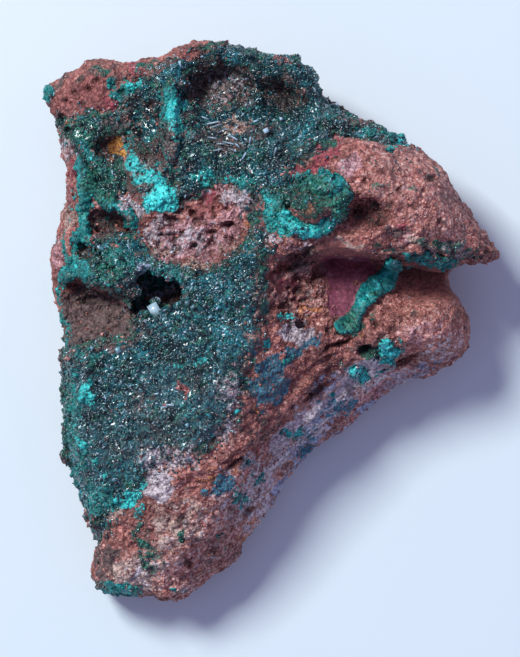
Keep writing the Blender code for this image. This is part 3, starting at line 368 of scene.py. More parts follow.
# Lesser forms: plan x, y, half sizes, turn, and how far they rise or sink, in millimetres.
FORMS = [
    (446, 249, 5, 3, 0, 0.7), (432, 247, 4, 3, 0, 0.7), (458, 253, 4, 3, 0, 0.7),
    (420, 249, 4, 3, 0, 0.6), (439, 255, 4, 2.5, 0, -0.6), (452, 243, 4, 2.5, 0, -0.6),
    (426, 254, 4, 2, 0, -0.5), (384, 284, 1.6, 7, 40, -0.5), (370, 297, 1.6, 7, 40, -0.4),
    (358, 312, 1.6, 7, 60, -0.4), (391, 271, 1.6, 6, 20, -0.4), (312, 208, 16, 9, 0, 2.6),
    (326, 186, 12, 8, -10, 1.3), (341, 395, 34, 3, 38, 1.5), (334, 406, 34, 2.5, 38, -1.3),
    (297, 423, 30, 3, 44, 1.4), (290, 434, 28, 2.5, 44, -1.2), (392, 384, 26, 2.5, 33, 1.2),
    (384, 392, 26, 2.5, 35, -1.0), (262, 510, 30, 3, 55, 0.7), (304, 231, 20, 5, -5, 0.7),
    (300, 194, 14, 9, 0, 1.1), (338, 208, 8, 12, 0, 0.8), (286, 202, 10, 10, 0, 0.8),
    (110, 318, 12, 8, 0, 0.8), (84, 310, 10, 7, 0, 0.7), (96, 334, 12, 6, 0, 0.7),
    (228, 92, 9, 7, 0, 1.1), (214, 84, 8, 6, 0, 0.8), (236, 78, 8, 5, 0, 0.8),
    (112, 222, 20, 5, -8, -1.0), (86, 206, 3, 30, 0, 0.6), (143, 122, 12, 22, 20, -0.8),
    (172, 128, 5, 36, 0, 0.5), (228, 88, 26, 16, 10, -0.6), (280, 98, 18, 12, -30, -0.8),
    (112, 246, 16, 5, 10, 0.6), (215, 205, 10, 5, 45, -0.5), (200, 226, 16, 5, 30, 0.5),
    (300, 290, 12, 16, 0, -0.9), (286, 280, 5, 5, 0, 0.7), (307, 312, 7, 4, 0, 0.6),
    (303, 322, 7, 3, 0, -1.2), (320, 270, 6, 6, 0, -1.0), (298, 258, 22, 3, 35, -0.8),
    (280, 270, 18, 3, 40, -0.8), (338, 345, 20, 3, 25, -0.7), (310, 372, 26, 4, 38, -0.8),
    (296, 396, 24, 3, 42, 0.5), (330, 402, 26, 3, 38, -0.7), (404, 362, 16, 2.5, 30, -1.2),
    (368, 350, 6, 5, 0, -1.0), (380, 370, 18, 3, 32, 0.5), (250, 440, 22, 4, 50, 0.7),
    (238, 452, 18, 3, 40, -0.7), (268, 462, 20, 4, 42, -0.5), (206, 470, 22, 4, 10, 0.5),
    (160, 484, 8, 12, 0, 0.4), (118, 514, 8, 6, 0, 0.5), (370, 214, 18, 11, 0, -1.5),
    (392, 222, 14, 3, 0, -0.6), (432, 178, 4, 4, 0, -0.5), (341, 247, 19, 4.5, -4, 1.0),
    (98, 300, 20, 4, 0, -0.6), (84, 395, 4, 12, -20, 0.6), (54, 372, 8, 7, 0, 0.9),
    (52, 400, 7, 8, 0, 0.9), (56, 428, 8, 7, 0, 0.9), (60, 456, 8, 8, 0, 0.9),
    (68, 486, 8, 8, 0, 0.9), (80, 516, 8, 8, 0, 0.8), (120, 380, 16, 10, 0, 0.5),
    (160, 400, 20, 10, 0, -0.5), (200, 400, 14, 12, 0, 0.5),
]
# Rock that has grown up inside the crusts, in the same terms.
FILLS = [(318, 204, 15, 9, -10, 1.9), (326, 198, 8, 8, 0, 0.8), (97, 254, 4, 22, 0, 1.2)]
# Long crystals: plan x, y, width and length in millimetres, lean from upright and bearing.
BLADES = [
    (213, 123, 0.40, 3.3, 82, 12), (222, 131, 0.36, 2.8, 84, 24), (228, 143, 0.38, 3.0, 84, -14),
    (232, 150, 0.32, 2.4, 82, -24), (238, 146, 0.32, 2.0, 84, 140), (205, 118, 0.34, 2.2, 82, 160),
    (218, 150, 0.32, 2.6, 84, 10), (244, 156, 0.32, 2.0, 82, 60), (212, 138, 0.36, 2.4, 84, -8),
    (216, 126, 0.30, 2.8, 84, 18), (234, 138, 0.32, 2.0, 84, -32), (224, 156, 0.30, 2.0, 84, 34),
    (250, 140, 0.34, 1.6, 82, 78), (275, 152, 0.40, 2.2, 80, 75), (256, 121, 0.40, 1.4, 70, 200),
    (190, 88, 0.40, 1.5, 78, 60), (180, 64, 0.36, 1.5, 80, 110), (170, 405, 0.50, 2.1, 84, -5),
    (164, 407, 0.42, 1.7, 84, 12), (221, 144, 0.30, 2.2, 84, -4), (236, 128, 0.30, 1.6, 84, 44),
]
# Blocky crystals with a flat face up: plan x, y, width, depth and height in millimetres, lean
# and bearing.
BLOCKS = [
    (155, 310, 2.7, 2.0, 1.5, 5, 200), (266, 131, 0.9, 1.0, 0.6, 12, 70),
    (281, 119, 0.6, 0.5, 0.5, 14, 20), (210, 317, 0.4, 0.9, 0.5, 16, 10),
    (187, 303, 0.9, 0.7, 0.6, 30, 60), (193, 307, 0.6, 0.9, 0.6, 24, 150),
    (92, 348, 0.7, 0.6, 0.5, 24, 40), (112, 368, 0.7, 0.6, 0.5, 28, 40),
    (187, 425, 0.7, 0.6, 0.5, 24, 0), (118, 350, 1.2, 1.0, 0.5, 14, 20),
    (126, 272, 0.5, 0.7, 0.5, 24, 0),
]


class RockSettings(bpy.types.PropertyGroup):
    voxel: FloatProperty(
        name="Surface Size", description="Spacing of the rock's surface points",
        default=0.57 * MM, min=0.3 * MM, unit="LENGTH", subtype="DISTANCE", precision=5,
    )
    roughness_depth: FloatProperty(
        name="Roughness Depth", description="How far grains and chips stand out",
        default=0.5 * MM, min=0.0, unit="LENGTH", subtype="DISTANCE", precision=5,
    )
    dark: FloatVectorProperty(
        name="Dark Rock", description="Colour between the grains", subtype="COLOR",
        default=(0.065, 0.022, 0.024), min=0.0, max=1.0,
    )
    body: FloatVectorProperty(
        name="Rock", description="Main colour of the rusty rock", subtype="COLOR",
        default=(0.57, 0.203, 0.170), min=0.0, max=1.0,
    )
    light: FloatVectorProperty(
        name="Light Grains", description="Colour of the palest grains", subtype="COLOR",
        default=(0.96, 0.60, 0.53), min=0.0, max=1.0,
    )
    grain_count: IntProperty(
        name="Grains", description="How many separate grains lie on the rock",
        default=24000, min=0, soft_max=30000,
    )
    grain_size: FloatProperty(
        name="Grain Size", description="Typical width of a grain",
        default=0.30 * MM, min=0.1 * MM, unit="LENGTH", subtype="DISTANCE", precision=5,
    )


class DruseSettings(bpy.types.PropertyGroup):
    voxel: FloatProperty(
        name="Surface Size", description="Spacing of the crust's surface points",
        default=0.5 * MM, min=0.3 * MM, unit="LENGTH", subtype="DISTANCE", precision=5,
    )
    crystal_count: IntProperty(
        name="Small Crystals", description="How many small crystals grow on the druse",
        default=27000, min=0, soft_max=27000,
    )
    crystal_width: FloatProperty(
        name="Crystal Width", description="Typical width of a small crystal",
        default=0.28 * MM, min=0.1 * MM, unit="LENGTH", subtype="DISTANCE", precision=5,
    )
    deep: FloatVectorProperty(
        name="Deep Green", description="Colour of the darkest crystals", subtype="COLOR",
        default=(0.002, 0.022, 0.028), min=0.0, max=1.0,
    )
    clear: FloatVectorProperty(
        name="Clear Green", description="Colour of the clearer crystals", subtype="COLOR",
        default=(0.022, 0.24, 0.295), min=0.0, max=1.0,
    )


class CrustSettings(bpy.types.PropertyGroup):
    voxel: FloatProperty(
        name="Surface Size", description="Spacing of the crusts' surface points",
        default=0.32 * MM, min=0.2 * MM, unit="LENGTH", subtype="DISTANCE", precision=5,
    )
    lump_height: FloatProperty(
        name="Lump Height", description="How far the rounded lumps stand out",
        default=0.45 * MM, min=0.0, unit="LENGTH", subtype="DISTANCE", precision=5,
    )
    bead_count: IntProperty(
        name="Beads", description="How many small beads grow on and round the crusts",
        default=6500, min=0, soft_max=9000,
    )
    deep: FloatVectorProperty(
        name="Deep Teal", description="Colour of the shaded lumps", subtype="COLOR",
        default=(0.008, 0.075, 0.085), min=0.0, max=1.0,
    )
    bright: FloatVectorProperty(
        name="Turquoise", description="Colour of the brightest lumps", subtype="COLOR",
        default=(0.028, 0.78, 0.73), min=0.0, max=1.0,
    )


class StageSettings(bpy.types.PropertyGroup):
    floor_colour: FloatVectorProperty(
        name="Floor", description="Colour of the plain floor", subtype="COLOR",
        default=(0.79, 0.90, 0.96), min=0.0, max=1.0,
    )
    key_power: FloatProperty(
        name="Key Power", description="Power of the soft lamp", default=22.8, min=0.0, unit="POWER",
    )
    sky: FloatVectorProperty(
        name="Sky", description="Colour of the light from all round", subtype="COLOR",
        default=(0.235, 0.23, 0.37), min=0.0, max=1.0,
    )


class SpecimenSettings(bpy.types.PropertyGroup):
    rock: PointerProperty(type=RockSettings)
    druse: PointerProperty(type=DruseSettings)
    crust: PointerProperty(type=CrustSettings)
    stage: PointerProperty(type=StageSettings)


# Fields over the surface


def smooth_step(value, low, high):
    share = np.clip((value - low) / (high - low), 0, 1)
    return share * share * (3 - 2 * share)


def field(points, size, octaves=2, seed=0.0):
    """Fractal noise from about -1 to 1 at each point, with lumps of this size in metres."""
    shift = Vector((seed, 1.7 * seed, -seed))
    return np.array([
        noise.fractal(Vector(point) / size + shift, 1.0, 2.1, octaves) for point in points.tolist()
    ])


def cells(points, size, seed=0.0):
    """Distance to the nearest cell centre at each point, about 0 to 1."""
    shift = Vector((seed, seed, seed))
    return np.array([
        noise.voronoi(Vector(point) / size + shift)[0][0] for point in points.tolist()
    ])


def seen_plan(points):
    """Plan places of points as the eye above the specimen sees them."""
    reach = (EYE_HEIGHT - RIM_HEIGHT) / (EYE_HEIGHT - points[:, 2]) / UNIT
    x = EYE_PLAN[0] + (points[:, 0] - EYE[0]) * reach
    y = EYE_PLAN[1] - (points[:, 1] - EYE[1]) * reach
    return np.stack([x, y], axis=1)


def patch_share(spots, patches):
    """How fully each plan spot is covered by the patches, 0 to 1."""
    share = np.zeros(len(spots))
    for x, y, along, across, turn, strength in patches:
        cosine, sine = math.cos(math.radians(turn)), math.sin(math.radians(turn))
        right, up = spots[:, 0] - x, y - spots[:, 1]
        reach = np.hypot((right * cosine + up * sine) / along, (up * cosine - right * sine) / across)
        share = np.maximum(share, strength * smooth_step(1.45 - reach, 0, 0.9))
    return share


def ragged_plan(points):
    """Plan places with a waver, so that patches get natural edges."""
    spots = seen_plan(points)
    for axis, seed in ((0, 3.0), (1, 11.0)):
        spots[:, axis] += 9.0 * field(points, 3.2 * MM, 4, seed)
    return spots


def mineral_shares(points, normals, beside=False):
    """Each family's cover at each point, its painted light and dust, its painted shade and grime, and
    how worn it is. Steep sides have less, and rock beside the druse is stained too."""
    ragged, straight = ragged_plan(points), seen_plan(points)
    kept = 0.35 + 0.65 * smooth_step(normals[:, 2], -0.5, 0.0)
    gone = smooth_step(field(points, 6.0 * MM, 2, 41.0), 0.25, -0.15)
    kept *= 1 - 0.9 * gone * smooth_step(normals[:, 2], 0.45, 0.1)
    shares = {name: patch_share(ragged, patches) * kept for name, patches in PATCHES.items()}
    shares.update({name: patch_share(straight, places) * kept for name, places in TONES.items()})
    shares["worn"] = patch_share(straight, SMOOTH)
    if beside:
        near = smooth_step(nearness(points, SHAPED["druse"], 2.6 * MM), 0.0, 0.6)
        bare = np.max([shares[name] for name in BARE], axis=0)
        stain = near * (1 - 0.9 * bare) * kept
        shares["pine"] = np.maximum(shares["pine"], 0.55 * stain)
        shares["umber"] = np.maximum(shares["umber"], 0.85 * stain)
    return shares


def swell(points, normals):
    """Broad lumps that the rock and everything on it share, in metres, fading at the rim."""
    level = smooth_step(normals[:, 2], 0.1, 0.6)
    broad = 0.75 * field(points, 5.5 * MM, 3, 1.0) + 0.5 * (0.45 - cells(points, 4.0 * MM, 2.0))
    spots = seen_plan(points)
    hand = np.zeros(len(points))
    for table, way in ((FORMS, 1), (PITS, -1)):
        for *place, size in table:
            hand += way * size * patch_share(spots, [(*place, 1.0)])
    return (broad * level + hand * smooth_step(normals[:, 2], -0.1, 0.3)) * MM


def plan_path(points):
    """A plan outline in metres."""
    path = np.array(points, float)
    return np.stack([
        EYE[0] + (path[:, 0] - EYE_PLAN[0]) * UNIT, EYE[1] + (EYE_PLAN[1] - path[:, 1]) * UNIT,
    ], axis=1)


def edge_distance(points, path):
    """Distance from each plan point to a closed path, positive inside it."""
    nearest, crossings = np.full(len(points), np.inf), np.zeros(len(points), int)
    x, y = points[:, 0], points[:, 1]
    for start, end in zip(path, np.roll(path, -1, axis=0), strict=True):
        side, reach = end - start, points - start
        along = np.clip(reach @ side / (side @ side), 0, 1)
        nearest = np.minimum(nearest, np.linalg.norm(reach - along[:, None] * side, axis=1))
        spans = (start[1] > y) != (end[1] > y)
        crossings += spans & (x < start[0] + side[0] * (y - start[1]) / (side[1] or 1e-12))
    return np.where(crossings % 2 == 1, nearest, -nearest)


def room_inside(points, outline, foot):
    """How far points are inside an outline and above its foot, in millimetres."""
    path = plan_path(outline)
    above = points[:, 2] - foot * MM - FOOT_FALL * (points[:, 1] - path[:, 1].mean())
    return np.minimum(edge_distance(points[:, :2], path), above) / MM


def waver(points):
    """A ragged shift of an edge, in millimetres."""
    return 0.9 * field(points, 2.4 * MM, 2, 23.0) + 0.5 * field(points, 0.9 * MM, 2, 29.0)


def rim_share(room, shift, start, end):
    """1 along a crust's rim and 0 well inside it, where its ragged edge is already thick."""
    return np.maximum(smooth_step(room, -0.8, 0.8) - smooth_step(room + shift, start, end), 0)


def filled(points, normals):
    """How far the rock rises round the crusts, to meet their thinning edges, in metres."""
    shift = waver(points)
    steep = 1 - np.abs(normals[:, 2])
    room = room_inside(points, DRUSE_EDGE, DRUSE_FOOT)
    rise = rim_share(room, shift, 0.9, 2.4) * (DRUSE_SUNK + 2.1 * steep)
    for crust in CRUSTS.values():
        room = room_inside(points, crust.outline, crust.foot)
        rise += rim_share(room, shift, 0.3 * crust.soft, 0.6 + 0.4 * crust.soft) * crust.sunk
    spots = seen_plan(points)
    for *place, grown in FILLS:
        rise += grown * patch_share(spots, [(*place, 1.0)]) * smooth_step(normals[:, 2], 0.0, 0.4)
    return rise * MM


def thinned(points, outline, foot, low, high, height=1.0, ragged=1.3):
    """A crust's points, thinning out towards its ragged edge until they sink into the rock,
    and how much is left at each."""
    room = room_inside(points, outline, foot) + ragged * waver(points)
    keep = smooth_step(room, low, high)
    hits = [SHAPED["rock"].find_nearest(Vector(point)) for point in points.tolist()]
    floor = np.array([tuple(hit[0]) for hit in hits])
    way = np.array([tuple(hit[1]) for hit in hits])
    left = (height * keep)[:, None]
    return floor + (points - floor) * left - 0.35 * MM * way * (1 - keep)[:, None], keep


# Meshes


def new_object(name, mesh):
    made = bpy.data.objects.new(name, mesh)
    bpy.context.scene.collection.objects.link(made)
    return made


def settled(obj):
    """Applies an object's modifiers."""
    graph = bpy.context.evaluated_depsgraph_get()
    mesh = bpy.data.meshes.new_from_object(obj.evaluated_get(graph), depsgraph=graph)
    obj.modifiers.clear()
    old, obj.data = obj.data, mesh
    bpy.data.meshes.remove(old)
    return obj


def finer(name, node, voxel, smoothing=0):
    """A new object from a copy of a frame node, with an even and finer surface."""
    shape = bmesh.new()
    shape.from_mesh(frame["nodes"][node].data)
    bmesh.ops.remove_doubles(shape, verts=shape.verts, dist=1e-6)
    mesh = bpy.data.meshes.new(name)
    shape.to_mesh(mesh)
    shape.free()
    made = new_object(name, mesh)
    even = made.modifiers.new("even", "REMESH")
    even.mode, even.voxel_size = "VOXEL", voxel
    settled(made)
    if smoothing:
        shape = bmesh.new()
        shape.from_mesh(made.data)
        for _ in range(smoothing):
            bmesh.ops.smooth_vert(
                shape, verts=shape.verts, factor=0.5, use_axis_x=True, use_axis_y=True,
                use_axis_z=True,
            )
        shape.to_mesh(made.data)
        shape.free()
    return made


def points_and_normals(mesh):
    count = len(mesh.vertices)
    points, normals = np.empty(count * 3, np.float32), np.empty(count * 3, np.float32)
    mesh.vertices.foreach_get("co", points)
    mesh.vertices.foreach_get("normal", normals)
    return points.reshape(-1, 3).astype(float), normals.reshape(-1, 3).astype(float)


def triangles_of(mesh):
    mesh.calc_loop_triangles()
    corners = np.empty(len(mesh.loop_triangles) * 3, np.int32)
    mesh.loop_triangles.foreach_get("vertices", corners)
    return corners.reshape(-1, 3)


def push(mesh, points, normals, depth, floor=0.0):
    """Moves points along their normals, but never below the floor height."""
    moved = points + normals * depth[:, None]
    moved[:, 2] = np.maximum(moved[:, 2], floor)
    mesh.vertices.foreach_set("co", moved.astype(np.float32).ravel())
    mesh.update()


def set_values(mesh, name, values):
    made = mesh.attributes.new(name, "FLOAT", "POINT")
    made.data.foreach_set("value", np.asarray(values, np.float32))


def set_shares(mesh, shares):
    for name, values in shares.items():
        set_values(mesh, name, values)


def mesh_from_arrays(name, vertices, triangles):
    mesh = bpy.data.meshes.new(name)
    mesh.vertices.add(len(vertices))
    mesh.vertices.foreach_set("co", vertices.astype(np.float32).ravel())
    mesh.loops.add(triangles.size)
    mesh.loops.foreach_set("vertex_index", triangles.astype(np.int32).ravel())
    mesh.polygons.add(len(triangles))
    mesh.polygons.foreach_set("loop_start", np.arange(0, triangles.size, 3, dtype=np.int32))
    mesh.update(calc_edges=True)
    mesh.validate()
    return mesh


def template(shape):
    """Vertices and triangles of a small bmesh, which is freed."""
    bmesh.ops.triangulate(shape, faces=shape.faces)
    bmesh.ops.recalc_face_normals(shape, faces=shape.faces)
    shape.verts.index_update()
    vertices = np.array([tuple(vertex.co) for vertex in shape.verts])
    triangles = np.array([[vertex.index for vertex in face.verts] for face in shape.faces])
    shape.free()
    return vertices, triangles


def crystal_template(tip=0.32, notch=0.22):
    """A six-sided prism one unit wide and long, with a three-faced tip."""
    shape = bmesh.new()
    bmesh.ops.create_cone(
        shape, segments=6, cap_ends=True, cap_tris=False, radius1=0.5, radius2=0.5, depth=1.0,
    )
    top = max(shape.faces, key=lambda face: face.calc_center_median().z)
    peak = bmesh.ops.poke(shape, faces=[top])["verts"][0]
    rim = sorted((edge.other_vert(peak) for edge in peak.link_edges),
                 key=lambda vertex: math.atan2(vertex.co.y, vertex.co.x))
    for vertex in rim[::2]:
        vertex.co.z -= notch
    peak.co.z += tip
    return template(shape)


def block_template():
    """A cube one unit wide."""
    shape = bmesh.new()
    bmesh.ops.create_cube(shape, size=1.0)
    return template(shape)


def grain_template(seed):
    """An angular chip about one unit wide."""
    shape = bmesh.new()
    bmesh.ops.create_cube(shape, size=0.8)
    for vertex in shape.verts:
        vertex.co += 0.5 * noise.noise_vector(vertex.co * 2.6 + Vector((seed, seed, seed)))
    return template(shape)


def copies(shape, places, turns, sizes):
    """Vertices and triangles of a template's copies, each sized, turned and placed."""
    corners, triangles = shape
    turned = np.einsum("nij,nmj->nmi", turns, corners[None] * sizes[:, None, :])
    vertices = (turned + places[:, None, :]).reshape(-1, 3)
    offsets = np.arange(len(places))[:, None, None] * len(corners)
    return vertices, (triangles[None] + offsets).reshape(-1, 3)


def turns_to(axes, spins):
    """Rotation matrices that bring +Z to each axis, after a spin about it."""
    axes = axes / np.linalg.norm(axes, axis=1, keepdims=True)
    helper = np.where(np.abs(axes[:, 2:3]) < 0.9, [[0.0, 0.0, 1.0]], [[1.0, 0.0, 0.0]])
    side = np.cross(helper, axes)
    side /= np.linalg.norm(side, axis=1, keepdims=True)
    other = np.cross(axes, side)
    cosine, sine = np.cos(spins)[:, None], np.sin(spins)[:, None]
    return np.stack([side * cosine + other * sine, other * cosine - side * sine, axes], axis=2)


def scatter(sources, count, spread):
    """Random places on meshes and the face normals there. Each source is a mesh and its
    chance(points, normals), the local density."""
    corners, normals, weights = [], [], []
    for mesh, chance in sources:
        points, _ = points_and_normals(mesh)
        mine = points[triangles_of(mesh)]
        across = np.cross(mine[:, 1] - mine[:, 0], mine[:, 2] - mine[:, 0])
        doubled = np.linalg.norm(across, axis=1)
        across /= np.maximum(doubled, 1e-15)[:, None]
        corners.append(mine)
        normals.append(across)
        weights.append(doubled * chance(mine.mean(axis=1), across))
    corners, normals, weights = map(np.concatenate, (corners, normals, weights))
    chosen = spread.choice(len(weights), size=count, p=weights / weights.sum())
    shares = spread.dirichlet((1, 1, 1), size=count)
    return (corners[chosen] * shares[:, :, None]).sum(axis=1), normals[chosen]


def tree_of(mesh):
    points, _ = points_and_normals(mesh)
    return BVHTree.FromPolygons(points.tolist(), triangles_of(mesh).tolist())


def in_the_open(places, normals, trees, reach=3.2 * MM):
    """Which places have no other surface over them within this reach."""
    clear = []
    for place, normal in zip(places.tolist(), normals.tolist(), strict=True):
        way = Vector(normal)
        spot = Vector(place) + way * 0.02 * MM
        clear.append(all(tree.ray_cast(spot, way, reach)[0] is None for tree in trees))
    return np.array(clear)


def nearness(points, tree, reach):
    """1 where a point touches the tree's surface, falling to 0 at this reach."""
    gaps = [tree.find_nearest(Vector(point), reach)[3] for point in points.tolist()]
    return np.array([0 if gap is None else 1 - gap / reach for gap in gaps])


def best_share(points, families):
    """The fullest cover of the families at each point."""
    spots = ragged_plan(points)
    return np.max([patch_share(spots, PATCHES[name]) for name in families], axis=0)


def random_axes(spread, count):
    axes = spread.normal(size=(count, 3))
    return axes / np.linalg.norm(axes, axis=1, keepdims=True)


def dress(obj, material, replaced=()):
    """Gives a piece its material and its place in the frame."""
    obj.data.materials.clear()
    obj.data.materials.append(material)
    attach(obj, BODY)
    if replaced:
        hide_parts(*replaced)
    return obj


# Materials

BREAKS = ["First", "Second", "Third"]


def add(tree, kind, links=None, **settings):
    """A new node with these settings. Each input, by name or number, takes a value or a link."""
    made = tree.nodes.new(kind)
    for key, value in settings.items():
        setattr(made, key, value)
    for key, value in (links or {}).items():
        if isinstance(value, bpy.types.NodeSocket):
            tree.links.new(value, made.inputs[key])
        else:
            made.inputs[key].default_value = value
    return made


def maths(tree, operation, first, second):
    return add(tree, "ShaderNodeMath", {0: first, 1: second}, operation=operation).outputs[0]


def spread_out(tree, value, low, high, to_low=0.0, to_high=1.0):
    """The value mapped from low..high, held between the ends."""
    return add(tree, "ShaderNodeMapRange", {
        "Value": value, "From Min": low, "From Max": high, "To Min": to_low, "To Max": to_high,
    }).outputs[0]


def blended(tree, share, first, second, mode="MIX"):
    """Two colours mixed by a share."""
    return add(tree, "ShaderNodeMix", {0: share, 6: first, 7: second}, data_type="RGBA",
               blend_type=mode).outputs[2]


def ramp(tree, value, stops):
    """The colour for a value, between stops of a position and a colour."""
    made = add(tree, "ShaderNodeValToRGB", {"Fac": value})
    elements = made.color_ramp.elements
    while len(elements) < len(stops):
        elements.new(0.5)
    for element, (position, colour) in zip(elements, stops, strict=True):
        element.position, element.color = position, (*colour, 1)
    return made.outputs["Color"]


def attribute(tree, name):
    return add(tree, "ShaderNodeAttribute", attribute_name=name).outputs["Fac"]


def shader_group(name, inputs, outputs):
    """A new node group with these sockets, and its two ends."""
    group = bpy.data.node_groups.new(name, "ShaderNodeTree")
    for socket, kind in inputs:
        group.interface.new_socket(name=socket, in_out="INPUT", socket_type=f"NodeSocket{kind}")
    for socket, kind in outputs:
        group.interface.new_socket(name=socket, in_out="OUTPUT", socket_type=f"NodeSocket{kind}")
    return group, group.nodes.new("NodeGroupInput"), group.nodes.new("NodeGroupOutput")


def place_group(tree, name, links):
    return add(tree, "ShaderNodeGroup", links, node_tree=bpy.data.node_groups[name])


def cell_texture(tree, place, scale):
    return add(tree, "ShaderNodeTexVoronoi", {"Vector": place, "Scale": scale, "Randomness": 1.0})


def vector_maths(tree, operation, links):
    return add(tree, "ShaderNodeVectorMath", links, operation=operation).outputs["Vector"]


def grain_group():
    """Angular grains: each one's tone, the painted-shade gaps between them, and their height."""
    group, start, end = shader_group(
        "Mineral Grain", [("Vector", "Vector"), ("Scale", "Float")],
        [("Tone", "Float"), ("Gap Shade", "Float"), ("Height", "Float")],
    )
    cell = cell_texture(group, start.outputs["Vector"], start.outputs["Scale"])
    tone = add(group, "ShaderNodeSeparateColor", {"Color": cell.outputs["Color"]})
    reach = cell.outputs["Distance"]
    group.links.new(tone.outputs[0], end.inputs["Tone"])
    group.links.new(spread_out(group, reach, 0.35, 0.8), end.inputs["Gap Shade"])
    group.links.new(spread_out(group, reach, 0.1, 0.8, 1.0, 0.0), end.inputs["Height"])


def breakup_group():
    """Three ragged masks in one."""
    group, start, end = shader_group(
        "Breakup", [("Vector", "Vector"), ("Scale", "Float")], [(name, "Float") for name in BREAKS],
    )
    mist = add(group, "ShaderNodeTexNoise", {
        "Vector": start.outputs["Vector"], "Scale": start.outputs["Scale"], "Detail": 4.0,
        "Roughness": 0.65,
    })
    parts = add(group, "ShaderNodeSeparateColor", {"Color": mist.outputs["Color"]})
    for number, name in enumerate(BREAKS):
        group.links.new(spread_out(group, parts.outputs[number], 0.3, 0.7), end.inputs[name])


def facet_group():
    """Small flat faces, each tilted its own way from the surface."""
    group, start, end = shader_group(
        "Facets", [("Vector", "Vector"), ("Scale", "Float"), ("Tilt", "Float")],
        [("Normal", "Vector"), ("Tone", "Float")],
    )
    cell = cell_texture(group, start.outputs["Vector"], start.outputs["Scale"])
    lean = vector_maths(group, "SUBTRACT", {0: cell.outputs["Color"], 1: (0.5, 0.5, 0.5)})
    lean = vector_maths(group, "SCALE", {0: lean, "Scale": start.outputs["Tilt"]})
    way = group.nodes.new("ShaderNodeNewGeometry")
    lean = vector_maths(group, "ADD", {0: lean, 1: way.outputs["Normal"]})
    lean = vector_maths(group, "NORMALIZE", {0: lean})
    tone = add(group, "ShaderNodeSeparateColor", {"Color": cell.outputs["Color"]})
    group.links.new(lean, end.inputs["Normal"])
    group.links.new(tone.outputs[1], end.inputs["Tone"])


def stain_group():
    """One stain over a colour, with a ragged edge, and how much it covers."""
    group, start, end = shader_group(
        "Stain Layer",
        [("Colour", "Color"), ("Stain", "Color"), ("Share", "Float"), ("Break", "Float")],
        [("Colour", "Color"), ("Cover", "Float")],
    )
    bite = maths(group, "MULTIPLY", start.outputs["Break"], 0.72)
    cover = spread_out(group, maths(group, "SUBTRACT", start.outputs["Share"], bite), 0.04, 0.24)
    mixed = blended(group, cover, start.outputs["Colour"], start.outputs["Stain"])
    group.links.new(mixed, end.inputs["Colour"])
    group.links.new(cover, end.inputs["Cover"])


def build_groups():
    """The effects that the materials share."""
    for make in (grain_group, breakup_group, facet_group, stain_group):
        make()


# Each mineral's darkest and lightest colour.
STAINS = {
    "umber": ((0.020, 0.014, 0.014), (0.27, 0.185, 0.175)),
    "red": ((0.14, 0.036, 0.034), (0.56, 0.20, 0.18)),
    "rose": ((0.17, 0.045, 0.058), (1.0, 0.56, 0.59)),
    "crimson": ((0.16, 0.022, 0.035), (0.60, 0.14, 0.17)),
    "maroon": ((0.27, 0.066, 0.105), (0.38, 0.105, 0.16)),
    "orange": ((0.24, 0.08, 0.038), (0.85, 0.35, 0.17)),
    "ochre": ((0.46, 0.17, 0.03), (1.0, 0.52, 0.13)),
    "tan": ((0.27, 0.135, 0.105), (0.88, 0.65, 0.56)),
    "pale": ((0.20, 0.145, 0.165), (0.95, 0.84, 0.90)),
    "pine": ((0.004, 0.030, 0.027), (0.035, 0.26, 0.18)),
    "ink": ((0.010, 0.055, 0.090), (0.10, 0.33, 0.46)),
    "teal": ((0.006, 0.055, 0.062), (0.05, 0.46, 0.43)),
    "painted_skylight": ((0.09, 0.13, 0.20), (0.60, 0.66, 0.88)),
    "bright": ((0.012, 0.20, 0.20), (0.09, 0.98, 0.96)),
}


def blank_material(name):
    """A new material, its node tree and shader, and the object's coordinates."""
    material = bpy.data.materials.new(name)
    material.use_nodes = True
    tree = material.node_tree
    place = tree.nodes.new("ShaderNodeTexCoord").outputs["Object"]
    return material, tree, tree.nodes["Principled BSDF"], place


def grains(tree, place, scale):
    return place_group(tree, "Mineral Grain", {"Vector": place, "Scale": scale})


def breakup(tree, place, scale):
    return place_group(tree, "Breakup", {"Vector": place, "Scale": scale})


def stain_layer(tree, colour, name, tone, share, mask):
    """One mineral's stain over a colour."""
    deep, light = STAINS[name]
    return place_group(tree, "Stain Layer", {
        "Colour": colour, "Stain": ramp(tree, tone, [(0.1, deep), (0.9, light)]),
        "Share": share, "Break": mask,
    })


def stained(tree, colour, place, tone, families):
    """Lays the families' stains over a colour, and gives each layer's cover."""
    masks = [breakup(tree, place, scale) for scale in (420.0, 800.0)]
    covers = {}
    for number, name in enumerate(families):
        share = attribute(tree, name)
        own = weighed(tree, [(tone, 0.45), (share, 0.52)]) if name in ("teal", "bright") else tone
        mask = masks[number % 2].outputs[BREAKS[number % 3]]
        layer = stain_layer(tree, colour, name, own, share, mask)
        colour, covers[name] = layer.outputs["Colour"], layer.outputs["Cover"]
    return colour, covers


def weighed(tree, parts):
    """The sum of values, each times its weight."""
    total = maths(tree, "MULTIPLY", *parts[0])
    for value, weight in parts[1:]:
        total = maths(tree, "ADD", total, maths(tree, "MULTIPLY", value, weight))
    return total


def light_shifted(tree, tone):
    """A tone, lighter where light and dust are painted, darker where shade and grime are painted."""
    lift = weighed(tree, [(attribute(tree, "dust_and_light"), 0.25), (attribute(tree, "grime_and_shade"), -0.3)])
    return maths(tree, "ADD", tone, lift)


def shade_darkened(tree, colour):
    """A colour, darkened where shade and grime are painted."""
    shade = spread_out(tree, attribute(tree, "grime_and_shade"), 0.0, 1.0, 1.0, 0.3)
    return blended(tree, 1.0, colour, shade, "MULTIPLY")


def mottled(tree, colour, place, tone, parts):
    """Blotches of other minerals everywhere, with this share each."""
    blotch = breakup(tree, place, 360.0)
    for number, (name, share) in enumerate(parts):
        mask = blotch.outputs[BREAKS[number]]
        colour = stain_layer(tree, colour, name, tone, share, mask).outputs["Colour"]
    return colour


